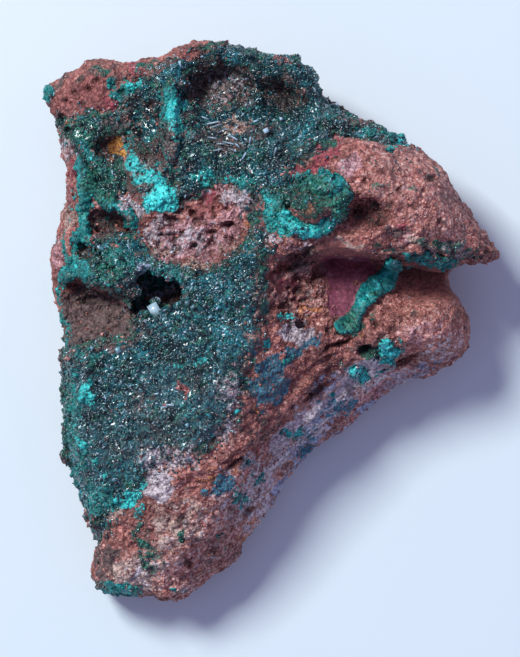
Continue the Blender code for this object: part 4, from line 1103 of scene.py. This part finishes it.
def shaded(tree, colour, place, scale, low, high):
    """A colour, darker or lighter over broad areas."""
    broad = add(tree, "ShaderNodeTexNoise", {"Vector": place, "Scale": scale, "Detail": 3.0})
    shade = spread_out(tree, broad.outputs["Fac"], 0.35, 0.65, low, high)
    return blended(tree, 1.0, colour, shade, "MULTIPLY")


def bump(tree, shader, height, strength, distance, facets=None):
    """Gives the shader a bumpy normal, over facets where there are some."""
    links = {"Height": height, "Strength": strength, "Distance": distance}
    if facets:
        links["Normal"] = facets.outputs["Normal"]
    made = add(tree, "ShaderNodeBump", links)
    tree.links.new(made.outputs["Normal"], shader.inputs["Normal"])


def rock_material(name, values, per_grain=False):
    """Rusty, granular rock; per_grain takes each loose grain's own tone."""
    material, tree, shader, place = blank_material(name)
    grain, fine = grains(tree, place, 1500.0), grains(tree, place, 3400.0)
    mist = breakup(tree, place, 1100.0)
    first = attribute(tree, "tone") if per_grain else grain.outputs["Tone"]
    tone = weighed(tree, [(first, 0.36), (fine.outputs["Tone"], 0.3), (mist.outputs["First"], 0.34)])
    tone = light_shifted(tree, tone)
    evened = maths(tree, "MULTIPLY", attribute(tree, "worn"), 0.75)
    tone = blended(tree, evened, tone, (0.5, 0.5, 0.5, 1))
    dark, body, light = tuple(values.dark), tuple(values.body), tuple(values.light)
    middle = tuple(0.6 * part for part in body)
    colour = ramp(tree, tone, [(0.1, dark), (0.36, middle), (0.6, body), (0.9, light)])
    colour = shaded(tree, colour, place, 150.0, 0.68, 1.2)
    colour = mottled(tree, colour, place, tone, [("umber", 0.27), ("pale", 0.14), ("red", 0.24)])
    colour, covers = stained(tree, colour, place, tone, FAMILIES)
    colour = shade_darkened(tree, colour)
    # Painted shade: the gaps between the grains, low in the bump, go towards the dark colour.
    if not per_grain:
        gap = maths(tree, "MULTIPLY", grain.outputs["Gap Shade"], 0.6)
        colour = blended(tree, gap, colour, (*dark, 1))
    tree.links.new(colour, shader.inputs["Base Color"])
    wet = maths(tree, "MAXIMUM", covers["teal"], covers["maroon"])
    calm = maths(tree, "SUBTRACT", 1.0, maths(tree, "MULTIPLY", attribute(tree, "worn"), 0.85))
    tilt = maths(tree, "MULTIPLY", calm, 0.5)
    facets = place_group(tree, "Facets", {"Vector": place, "Scale": 2900.0, "Tilt": tilt})
    shiny = maths(tree, "MAXIMUM", wet, spread_out(tree, facets.outputs["Tone"], 0.82, 0.86))
    tree.links.new(spread_out(tree, shiny, 0.0, 1.0, 0.8, 0.4), shader.inputs["Roughness"])
    height = weighed(tree, [(grain.outputs["Height"], 0.35), (fine.outputs["Height"], 0.25),
                            (mist.outputs["Second"], 0.4)])
    bump(tree, shader, maths(tree, "MULTIPLY", height, calm), 0.8, 0.4 * MM, facets)
    return material


def druse_material(name, values, per_crystal=False):
    """Dark green, glassy dioptase; per_crystal takes each crystal's own tone."""
    material, tree, shader, place = blank_material(name)
    grain, mist = grains(tree, place, 1900.0), breakup(tree, place, 600.0)
    own = attribute(tree, "tone") if per_crystal else grain.outputs["Tone"]
    tone = own
    if not per_crystal:
        tone = weighed(tree, [(own, 0.45), (mist.outputs["First"], 0.5)])
    deep, clear = tuple(values.deep), tuple(values.clear)
    middle = tuple((a + b) / 2.6 for a, b in zip(deep, clear, strict=True))
    # Painted highlights: the lit stop and the pale blue-white painted glint, a sky reflection.
    lit = tuple(1.6 * part for part in clear)
    painted_glint = (0.60, 0.83, 1.0)
    colour = ramp(tree, tone, [(0.0, deep), (0.45, middle), (0.86, clear), (0.94, lit), (0.96, painted_glint)])
    colour = shaded(tree, colour, place, 170.0, 0.36, 1.4)
    # Crystals with the painted glint colour take no blotches.
    plain = spread_out(tree, own, 0.94, 0.96, 1.0, 0.0) if per_crystal else 1.0
    colour = mottled(tree, colour, place, tone, [
        (name, maths(tree, "MULTIPLY", plain, share))
        for name, share in (("pine", 0.36), ("umber", 0.21), ("teal", 0.28))
    ])
    # Grey dust on the druse; the same share is painted light in the deep hollow.
    dust_and_light_share = maths(tree, "MULTIPLY", attribute(tree, "dust_and_light"), mist.outputs["Third"])
    colour = blended(tree, maths(tree, "MULTIPLY", dust_and_light_share, 0.75), colour, (0.17, 0.165, 0.165, 1))
    colour, covers = stained(tree, colour, place, tone, FAMILIES)
    colour = shade_darkened(tree, colour)
    tree.links.new(colour, shader.inputs["Base Color"])
    dull = maths(tree, "MAXIMUM", covers["umber"], covers["pale"])
    low, high = (0.12, 0.4) if per_crystal else (0.2, 0.5)
    tree.links.new(spread_out(tree, dull, 0.0, 1.0, low, high), shader.inputs["Roughness"])
    shader.inputs["IOR"].default_value = 1.66
    shader.inputs["Coat Weight"].default_value = 0.6
    shader.inputs["Coat Roughness"].default_value = 0.06
    if not per_crystal:
        facets = place_group(tree, "Facets", {"Vector": place, "Scale": 3300.0, "Tilt": 1.3})
        bump(tree, shader, grain.outputs["Height"], 0.6, 0.4 * MM, facets)
    else:
        shader.inputs["Transmission Weight"].default_value = 0.3
        scratch = add(tree, "ShaderNodeTexNoise", {"Vector": place, "Scale": 5200.0, "Detail": 2.0})
        bump(tree, shader, scratch.outputs["Fac"], 0.25, 0.05 * MM)
    return material


def crust_material(name, values, per_bead=False):
    """Waxy, rounded chrysocolla, from deep teal to turquoise."""
    material, tree, shader, place = blank_material(name)
    grain = grains(tree, place, 2600.0)
    tone = attribute(tree, "tone") if per_bead else grain.outputs["Tone"]
    mist = breakup(tree, place, 330.0)
    deep, bright = tuple(values.deep), tuple(values.bright)
    middle = tuple((a + b) / 2.4 for a, b in zip(deep, bright, strict=True))
    body = weighed(tree, [
        (mist.outputs["First"], 0.42), (tone, 0.34), (attribute(tree, "bright"), 0.5),
        (attribute(tree, "pine"), -0.4),
    ])
    colour = ramp(tree, body, [(0.1, deep), (0.55, middle), (0.95, bright)])
    colour = mottled(tree, colour, place, tone, [("pine", 0.3), ("umber", 0.14), ("bright", 0.24)])
    families = ["umber", "orange", "pale", "pine", "bright"]
    colour, _ = stained(tree, colour, place, grain.outputs["Tone"], families)
    colour = shade_darkened(tree, colour)
    # Painted shade: the gaps between the lumps go towards the deep teal.
    colour = blended(tree, maths(tree, "MULTIPLY", grain.outputs["Gap Shade"], 0.25), colour, (*deep, 1))
    tree.links.new(colour, shader.inputs["Base Color"])
    wax = spread_out(tree, mist.outputs["Second"], 0.0, 1.0, 0.28, 0.6)
    tree.links.new(wax, shader.inputs["Roughness"])
    shader.inputs["IOR"].default_value = 1.5
    bump(tree, shader, grain.outputs["Height"], 0.45, 0.2 * MM)
    return material


def floor_material(name, values):
    """Plain paper."""
    material, tree, shader, place = blank_material(name)
    soft = add(tree, "ShaderNodeTexNoise", {"Vector": place, "Scale": 9.0, "Detail": 2.0})
    base = tuple(values.floor_colour)
    faint = tuple(0.98 * part for part in base)
    colour = ramp(tree, soft.outputs["Fac"], [(0.3, faint), (0.7, base)])
    tree.links.new(colour, shader.inputs["Base Color"])
    shader.inputs["Roughness"].default_value = 0.9
    return material


def material_named(name, make, *values):
    """The material of this name, made the first time."""
    return bpy.data.materials.get(name) or make(name, *values)


# Pieces


def off_the_rest(points, depth):
    """The depth, with none where the specimen rests."""
    return np.where(points[:, 2] < RESTING, 0, depth)


def pores(points, spots):
    """The holes of the porous rock and the webs between them, each 0 to 1."""
    porous = patch_share(spots, POROUS)
    holes = smooth_step(field(points, 1.4 * MM, 3, 6.0), 0.12, 0.4) * porous
    webs = smooth_step(-np.abs(field(points, 1.5 * MM, 3, 31.0)), -0.14, -0.02) * porous
    return holes, webs


class DIOPTASE_OT_rock(bpy.types.Operator):
    """Makes the broken block of rusty rock"""

    bl_idname = "dioptase.rock"
    bl_label = "Rock"

    def execute(self, context):
        values = context.scene.dioptase_on_matrix.rock
        rock = finer("rock", "matrix", values.voxel)
        points, normals = points_and_normals(rock.data)
        push(rock.data, points, normals, off_the_rest(points, filled(points, normals)))
        SHAPED["rock"] = tree_of(rock.data)
        points, normals = points_and_normals(rock.data)
        spots = seen_plan(points)
        calm = 1 - 0.88 * patch_share(spots, SMOOTH)
        broken = (0.45 - cells(points, 2.4 * MM, 4.0)) * 1.3
        rough = 1.1 * field(points, 1.5 * MM, 3, 2.0) + 0.5 * cells(points, 0.9 * MM, 8.0) - 0.25
        holes, webs = pores(points, spots)
        depth = ((broken + rough) * calm - 1.8 * holes + webs) * values.roughness_depth
        depth += swell(points, normals) * calm
        push(rock.data, points, normals, off_the_rest(points, depth))
        shares = mineral_shares(points, normals)
        webs = 0.85 * webs * patch_share(spots, POROUS[:1]) * (1 - 0.85 * shares["red"])
        SHAPED["pale"] = np.maximum(shares["pale"], webs)
        # Painted shade: the holes of the porous rock are darkened too.
        SHAPED["grime_and_shade"] = np.maximum(shares["grime_and_shade"], 0.8 * holes)
        dress(rock, material_named("rusty_rock", rock_material, values), ["matrix"])
        return {"FINISHED"}


class DIOPTASE_OT_crusts(bpy.types.Operator):
    """Makes the rounded blue-green crusts"""

    bl_idname = "dioptase.crusts"
    bl_label = "Chrysocolla Crusts"

    def execute(self, context):
        values = context.scene.dioptase_on_matrix.crust
        for node, crust in CRUSTS.items():
            made = finer(crust.piece, node, values.voxel, 3)
            points, normals = points_and_normals(made.data)
            lumps = 1.5 * (0.5 - cells(points, 1.7 * MM, 3.0)) + 0.4 * (0.5 - cells(points, 0.8 * MM))
            lumps += 1.1 * field(points, 3.0 * MM, 2, 12.0)
            depth = values.lump_height * lumps + swell(points, normals)
            points = points + crust.growth * MM * (normals * [1, 1, 0])
            edge = -0.6 - crust.growth
            thin, keep = thinned(points, crust.outline, crust.foot, edge, edge + crust.soft,
                                 crust.height, min(1.3, crust.soft))
            shares = mineral_shares(points, normals)
            push(made.data, thin, normals, np.where(keep > 0.2, depth, depth - 0.1 * MM), 0.2 * MM)
            set_shares(made.data, shares)
            made.data.shade_smooth()
            dress(made, material_named("chrysocolla", crust_material, values), [node])
        return {"FINISHED"}


def stain_rock():
    """Gives the rock its minerals' shares, once the druse that stains it is there."""
    rock = bpy.data.objects["rock"].data
    shares = mineral_shares(*points_and_normals(rock), beside=True)
    for family in ("pale", "grime_and_shade"):
        shares[family] = np.maximum(shares[family], SHAPED[family])
    set_shares(rock, shares)


class DIOPTASE_OT_druse(bpy.types.Operator):
    """Makes the ground of the dioptase druse"""

    bl_idname = "dioptase.druse"
    bl_label = "Druse Ground"

    def execute(self, context):
        values = context.scene.dioptase_on_matrix.druse
        made = finer("druse_ground", "dioptase_druse", values.voxel, 1)
        points, normals = points_and_normals(made.data)
        lumps = 0.8 * field(points, 1.8 * MM, 2, 7.0) + 0.9 * (0.45 - cells(points, 1.2 * MM, 5.0))
        thin, keep = thinned(points, DRUSE_EDGE, DRUSE_FOOT, -0.2, 2.0)
        sides = 1.5 * (0.45 - cells(points, 2.8 * MM, 15.0)) * smooth_step(normals[:, 2], 0.8, 0.3)
        depth = (0.1 + 0.45 * lumps + sides) * MM * (0.3 + 0.7 * keep) + swell(points, normals)
        shares = mineral_shares(points, normals)
        push(made.data, thin, normals, depth, 0.3 * MM)
        set_shares(made.data, shares)
        SHAPED["druse"] = tree_of(made.data)
        stain_rock()
        part = material_named("dioptase_ground", druse_material, values)
        dress(made, part, ["dioptase_druse"])
        return {"FINISHED"}


def planted(name, shapes, places, axes, sizes, spread, tones, part, spins=None, beside=False,
            chance=0.72):
    """One object of many small things, each with its minerals' shares and tone; those with
    given spins are clean."""
    clean = spins is not None
    if spins is None:
        spins = spread.uniform(0, 2 * math.pi, len(places))
    turns = turns_to(axes, spins)
    kinds = spread.integers(0, len(shapes), len(places))
    vertices, triangles, owners, first = [], [], [], 0
    for kind, shape in enumerate(shapes):
        mine = np.flatnonzero(kinds == kind)
        corners, faces = copies(shape, places[mine], turns[mine], sizes[mine])
        vertices.append(corners)
        triangles.append(faces + first)
        owners.append(np.repeat(mine, len(shape[0])))
        first += len(corners)
    owners = np.concatenate(owners)
    mesh = mesh_from_arrays(name, np.concatenate(vertices), np.concatenate(triangles))
    takes = spread.random(len(places)) < (0 if clean else chance)
    for family, values in mineral_shares(places, axes, beside).items():
        set_values(mesh, family, (values * takes)[owners])
    set_values(mesh, "tone", tones[owners])
    made = new_object(name, mesh)
    dress(made, part)
    return made


def upward(normals):
    """How much grows on a face: most where it looks up."""
    return 0.2 + 0.8 * smooth_step(normals[:, 2], -0.5, 0.5)


def strewn(sources, count, spread, trees):
    """Places in the open, and the normals there."""
    places, normals = scatter(sources, int(1.8 * count), spread)
    clear = in_the_open(places, normals, trees) & (places[:, 2] > LOWEST_GROWTH)
    return places[clear][:count], normals[clear][:count]


def in_pieces(name, pieces, shapes, places, axes, sizes, spread, tones, part, beside=False,
              chance=0.72):
    """Plants many small things as several objects of equal size."""
    for number in range(pieces):
        mine = np.arange(number, len(places), pieces)
        planted(f"{name}_{number + 1}", shapes, places[mine], axes[mine], sizes[mine], spread,
                tones[mine], part, beside=beside, chance=chance)


def under_eye(x, y, grounds):
    """Where the sight line through a plan place first meets the surfaces."""
    start = Vector((*EYE, EYE_HEIGHT))
    reach = Vector((
        EYE[0] + (x - EYE_PLAN[0]) * UNIT, EYE[1] + (EYE_PLAN[1] - y) * UNIT, RIM_HEIGHT,
    ))
    hits = [tree.ray_cast(start, (reach - start).normalized())[0] for tree in grounds]
    return max((hit for hit in hits if hit), key=lambda hit: hit.z)


def surfaces():
    names = ["rock", "druse_ground", *CRUST_PIECES]
    return {name: tree_of(bpy.data.objects[name].data) for name in names}


def crust_sources(scale):
    """Each crust's mesh and the chance of growth on it, in step with its share of beads."""
    def chance(share):
        return lambda points, normals: scale * share * upward(normals)

    return [
        (bpy.data.objects[crust.piece].data, chance(crust.beads)) for crust in CRUSTS.values()
    ]


def crystal_sources(druse):
    """Where small crystals grow: on the druse, near it, on green rock and on the crusts."""
    def on_druse(points, normals):
        bare = best_share(points, ["tan", "pale", "red"])
        clumps = 0.25 + 0.75 * smooth_step(field(points, 3.0 * MM, 2, 19.0), -0.35, 0.15)
        level = 0.08 + 0.92 * smooth_step(normals[:, 2], 0.0, 0.6)
        return level * clumps * (1 - 0.7 * bare)

    def on_rock(points, normals):
        near = nearness(points, druse, 4.5 * MM)
        green = best_share(points, ["pine"])
        return upward(normals) * (0.75 * near * near + 0.9 * green * green)

    return [
        (bpy.data.objects["druse_ground"].data, on_druse),
        (bpy.data.objects["rock"].data, on_rock), *crust_sources(0.4),
    ]


def crystal_widths(normals, width, spread):
    """The tone, width and length of each small crystal. One in ten gets the pale blue-white
    painted glint colour, a painted reflection, and those on steep sides stay small."""
    count = len(normals)
    tones = np.where(spread.random(count) < 0.10, 1.0, 0.93 * spread.uniform(0, 1, count) ** 1.9)
    painted_glint, steep = tones == 1.0, normals[:, 2] < 0.4
    wide = width * np.exp(spread.normal(0, 0.45, count))
    wide = np.where(painted_glint, np.minimum(0.8 * wide, PAINTED_GLINT_WIDTH), wide)
    wide = np.clip(wide, *CRYSTAL_WIDTHS) * (0.6 + 0.4 * smooth_step(normals[:, 2], 0.1, 0.7))
    wide = np.where(steep, np.minimum(wide, STEEP_WIDTH), wide)
    long = wide * (spread.uniform(1.0, 2.0, count) + 1.1 * painted_glint)
    return tones, wide, np.where(steep, np.minimum(long, STEEP_LENGTH), long)


class DIOPTASE_OT_small_crystals(bpy.types.Operator):
    """Grows thousands of small dioptase crystals on the druse, and some beyond its edge"""

    bl_idname = "dioptase.small_crystals"
    bl_label = "Small Crystals"

    def execute(self, context):
        values = context.scene.dioptase_on_matrix.druse
        spread = np.random.default_rng(21)
        trees = surfaces()
        sources = crystal_sources(trees["druse_ground"])
        places, normals = strewn(sources, values.crystal_count, spread, trees.values())
        count = len(places)
        tones, wide, long = crystal_widths(normals, values.crystal_width, spread)
        axes = normals + 1.1 * random_axes(spread, count)
        axes /= np.linalg.norm(axes, axis=1, keepdims=True)
        sizes = np.stack([wide, wide * spread.uniform(0.7, 1.1, count), long], axis=1)
        places = places - normals * (0.1 * long)[:, None]
        part = material_named("dioptase_crystals", druse_material, values, True)
        shapes = [crystal_template(), crystal_template(0.45, 0.1), crystal_template(0.12, 0.3)]
        in_pieces("small_crystals", 3, shapes, places, axes, sizes, spread, tones, part)
        return {"FINISHED"}


def set_by_hand(name, shape, table, rise, tones, spread, part):
    """Sets each crystal of a table on the first surface under the eye at its plan place."""
    grounds = [tree_of(bpy.data.objects[ground].data) for ground in ("druse_ground", "rock")]
    places, axes = [], []
    for x, y, _, _, _, lean, bearing in table:
        lean, bearing = math.radians(lean), math.radians(bearing)
        places.append(under_eye(x, y, grounds) + Vector((0, 0, rise * MM)))
        across = math.sin(lean)
        axes.append((across * math.cos(bearing), across * math.sin(bearing), math.cos(lean)))
    sizes = np.array([row[2:5] for row in table]) * MM
    planted(name, [shape], np.array(places), np.array(axes), sizes, spread, tones, part,
            np.full(len(table), math.pi / 6))


class DIOPTASE_OT_long_crystals(bpy.types.Operator):
    """Sets the long blades and large crystals in the hollows"""

    bl_idname = "dioptase.long_crystals"
    bl_label = "Long Crystals"

    def execute(self, context):
        values = context.scene.dioptase_on_matrix.druse
        spread = np.random.default_rng(5)
        part = material_named("dioptase_crystals", druse_material, values, True)
        blades = [(x, y, wide, 0.7 * wide, 0.75 * long, *turn) for x, y, wide, long, *turn in BLADES]
        # Painted glints: the blades and the first blocks get the pale blue-white glint colour, a
        # painted reflection of the sky; the other blocks get a colour halfway to it from the lit
        # green.
        painted_glints = np.arange(len(BLOCKS)) < PAINTED_GLINT_BLOCKS
        set_by_hand("long_crystals", crystal_template(0.08, 0.03), blades, 0.7,
                    np.ones(len(blades)), spread, part)
        set_by_hand("block_crystals", block_template(), BLOCKS, 0.9,
                    np.where(painted_glints, 1.0, 0.95), spread, part)
        return {"FINISHED"}


def grain_sources():
    """Where grains lie: on the rock, but for its worn places, and on dusty druse and its edge."""
    def on_rock(points, normals):
        loose = 1 - 0.95 * patch_share(seen_plan(points), SMOOTH)
        clumps = 0.35 + 0.65 * smooth_step(field(points, 3.5 * MM, 2, 17.0), -0.25, 0.2)
        return loose * clumps * upward(normals) * (points[:, 2] > 1.5 * MM)

    def on_druse(points, normals):
        dust_and_light = best_share(points, ["tan", "pale", "red", "umber", "orange"])
        edge = smooth_step(-room_inside(points, DRUSE_EDGE, DRUSE_FOOT), -6.0, -0.2)
        return upward(normals) * np.maximum(0.9 * dust_and_light, 0.42 * edge * (normals[:, 2] > 0.4))

    return [
        (bpy.data.objects["rock"].data, on_rock),
        (bpy.data.objects["druse_ground"].data, on_druse),
    ]


class DIOPTASE_OT_grains(bpy.types.Operator):
    """Strews the rock with separate grains, and the edge of the druse with some"""

    bl_idname = "dioptase.grains"
    bl_label = "Rock Grains"

    def execute(self, context):
        values = context.scene.dioptase_on_matrix.rock
        spread = np.random.default_rng(33)
        trees = surfaces().values()
        places, normals = strewn(grain_sources(), values.grain_count, spread, trees)
        count = len(places)
        wide = np.clip(values.grain_size * np.exp(spread.normal(0, 0.4, count)), *GRAIN_WIDTHS)
        wide *= 0.6 + 0.4 * smooth_step(normals[:, 2], 0.0, 0.6)
        places = places - normals * (0.12 * wide)[:, None]
        sizes = wide[:, None] * spread.uniform(0.35, 1.3, (count, 3))
        axes = normals + 0.8 * random_axes(spread, count)
        shapes = [grain_template(seed) for seed in GRAIN_SEEDS]
        tones = spread.uniform(0, 1, count)
        part = material_named("rock_grains", rock_material, values, True)
        in_pieces("rock_grains", 2, shapes, places, axes, sizes, spread, tones, part,
                  beside=True, chance=0.86)
        return {"FINISHED"}


def bead_sources():
    """Where beads grow: on blue-green places, and on the crusts."""
    def around(points, normals):
        green = best_share(points, ["teal", "bright"])
        return upward(normals) * smooth_step(green, 0.3, 0.9)

    sources = [(bpy.data.objects[name].data, around) for name in ("rock", "druse_ground")]
    return sources + crust_sources(1)


class DIOPTASE_OT_beads(bpy.types.Operator):
    """Grows small blue-green beads over the crusts and round them"""

    bl_idname = "dioptase.beads"
    bl_label = "Blue-Green Beads"

    def execute(self, context):
        values = context.scene.dioptase_on_matrix.crust
        spread = np.random.default_rng(8)
        trees = surfaces().values()
        places, normals = strewn(bead_sources(), values.bead_count, spread, trees)
        count = len(places)
        wide = np.clip(BEAD_WIDTH * np.exp(spread.normal(0, 0.4, count)), *BEAD_WIDTHS)
        sizes = wide[:, None] * spread.uniform(0.6, 1.2, (count, 3))
        axes = normals + 0.5 * random_axes(spread, count)
        shapes = [grain_template(seed) for seed in BEAD_SEEDS]
        tones = spread.uniform(0, 1, count)
        part = material_named("chrysocolla_beads", crust_material, values, True)
        in_pieces("blue_green_beads", 1, shapes, places, axes, sizes, spread, tones, part,
                  chance=0.92)
        return {"FINISHED"}


def lay_floor(values):
    shape = bmesh.new()
    bmesh.ops.create_grid(shape, x_segments=1, y_segments=1, size=FLOOR_REACH)
    mesh = bpy.data.meshes.new("floor")
    shape.to_mesh(mesh)
    shape.free()
    floor = new_object("floor", mesh)
    mesh.materials.append(floor_material("floor_paper", values))


def aimed(name, data, spot, target):
    """A new object at the spot that looks at the target."""
    made = new_object(name, data)
    made.location = spot
    made.rotation_mode = "QUATERNION"
    made.rotation_quaternion = (Vector(target) - Vector(spot)).to_track_quat("-Z", "Y")
    return made


class DIOPTASE_OT_stage(bpy.types.Operator):
    """Sets the plain floor, the soft light and the camera"""

    bl_idname = "dioptase.stage"
    bl_label = "Stage"

    def execute(self, context):
        values = context.scene.dioptase_on_matrix.stage
        scene = context.scene
        lay_floor(values)
        world = bpy.data.worlds.new("soft_sky")
        scene.world = world
        world.use_nodes = True
        world.node_tree.nodes["Background"].inputs["Color"].default_value = (*values.sky, 1)

        lamp = bpy.data.lights.new("window_light", "AREA")
        lamp.energy, lamp.size, lamp.color = values.key_power, LAMP_SIZE, LAMP_COLOUR
        aimed("window_light", lamp, LAMP_SPOT, (0, 0, 0))

        camera = bpy.data.cameras.new("camera")
        camera.sensor_width = SENSOR
        camera.lens = SENSOR * (EYE_HEIGHT - RIM_HEIGHT) / (VIEW_HEIGHT * UNIT)
        camera.clip_start = 0.05
        scene.camera = aimed("camera", camera, (*EYE, EYE_HEIGHT), (*EYE, 0))
        scene.view_settings.view_transform = "Standard"
        return {"FINISHED"}


class DIOPTASE_PT_specimen(bpy.types.Panel):
    """The specimen's settings and pieces"""

    bl_idname = "DIOPTASE_PT_specimen"
    bl_label = "Dioptase on Matrix"
    bl_space_type = "VIEW_3D"
    bl_region_type = "UI"
    bl_category = "Minerals"

    def draw(self, context):
        values = context.scene.dioptase_on_matrix
        for operator, group in PANEL:
            box = self.layout.box()
            box.operator(operator.bl_idname)
            if group:
                settings = getattr(values, group)
                for key in settings.__annotations__:
                    box.prop(settings, key)


PANEL = [
    (DIOPTASE_OT_rock, "rock"), (DIOPTASE_OT_crusts, "crust"), (DIOPTASE_OT_druse, "druse"),
    (DIOPTASE_OT_small_crystals, None), (DIOPTASE_OT_long_crystals, None),
    (DIOPTASE_OT_grains, None), (DIOPTASE_OT_beads, None), (DIOPTASE_OT_stage, "stage"),
]
CLASSES = [
    RockSettings, DruseSettings, CrustSettings, StageSettings, SpecimenSettings,
    *(operator for operator, _ in PANEL), DIOPTASE_PT_specimen,
]


def register():
    for item in CLASSES:
        bpy.utils.register_class(item)
    bpy.types.Scene.dioptase_on_matrix = PointerProperty(type=SpecimenSettings)


def unregister():
    del bpy.types.Scene.dioptase_on_matrix
    for item in reversed(CLASSES):
        bpy.utils.unregister_class(item)


def main():
    register()
    build_groups()
    noise.seed_set(NOISE_SEED)
    bpy.ops.dioptase.rock()
    bpy.ops.dioptase.crusts()
    bpy.ops.dioptase.druse()
    bpy.ops.dioptase.small_crystals()
    bpy.ops.dioptase.long_crystals()
    bpy.ops.dioptase.grains()
    bpy.ops.dioptase.beads()
    bpy.ops.dioptase.stage()


if __name__ == "__main__":
    main()
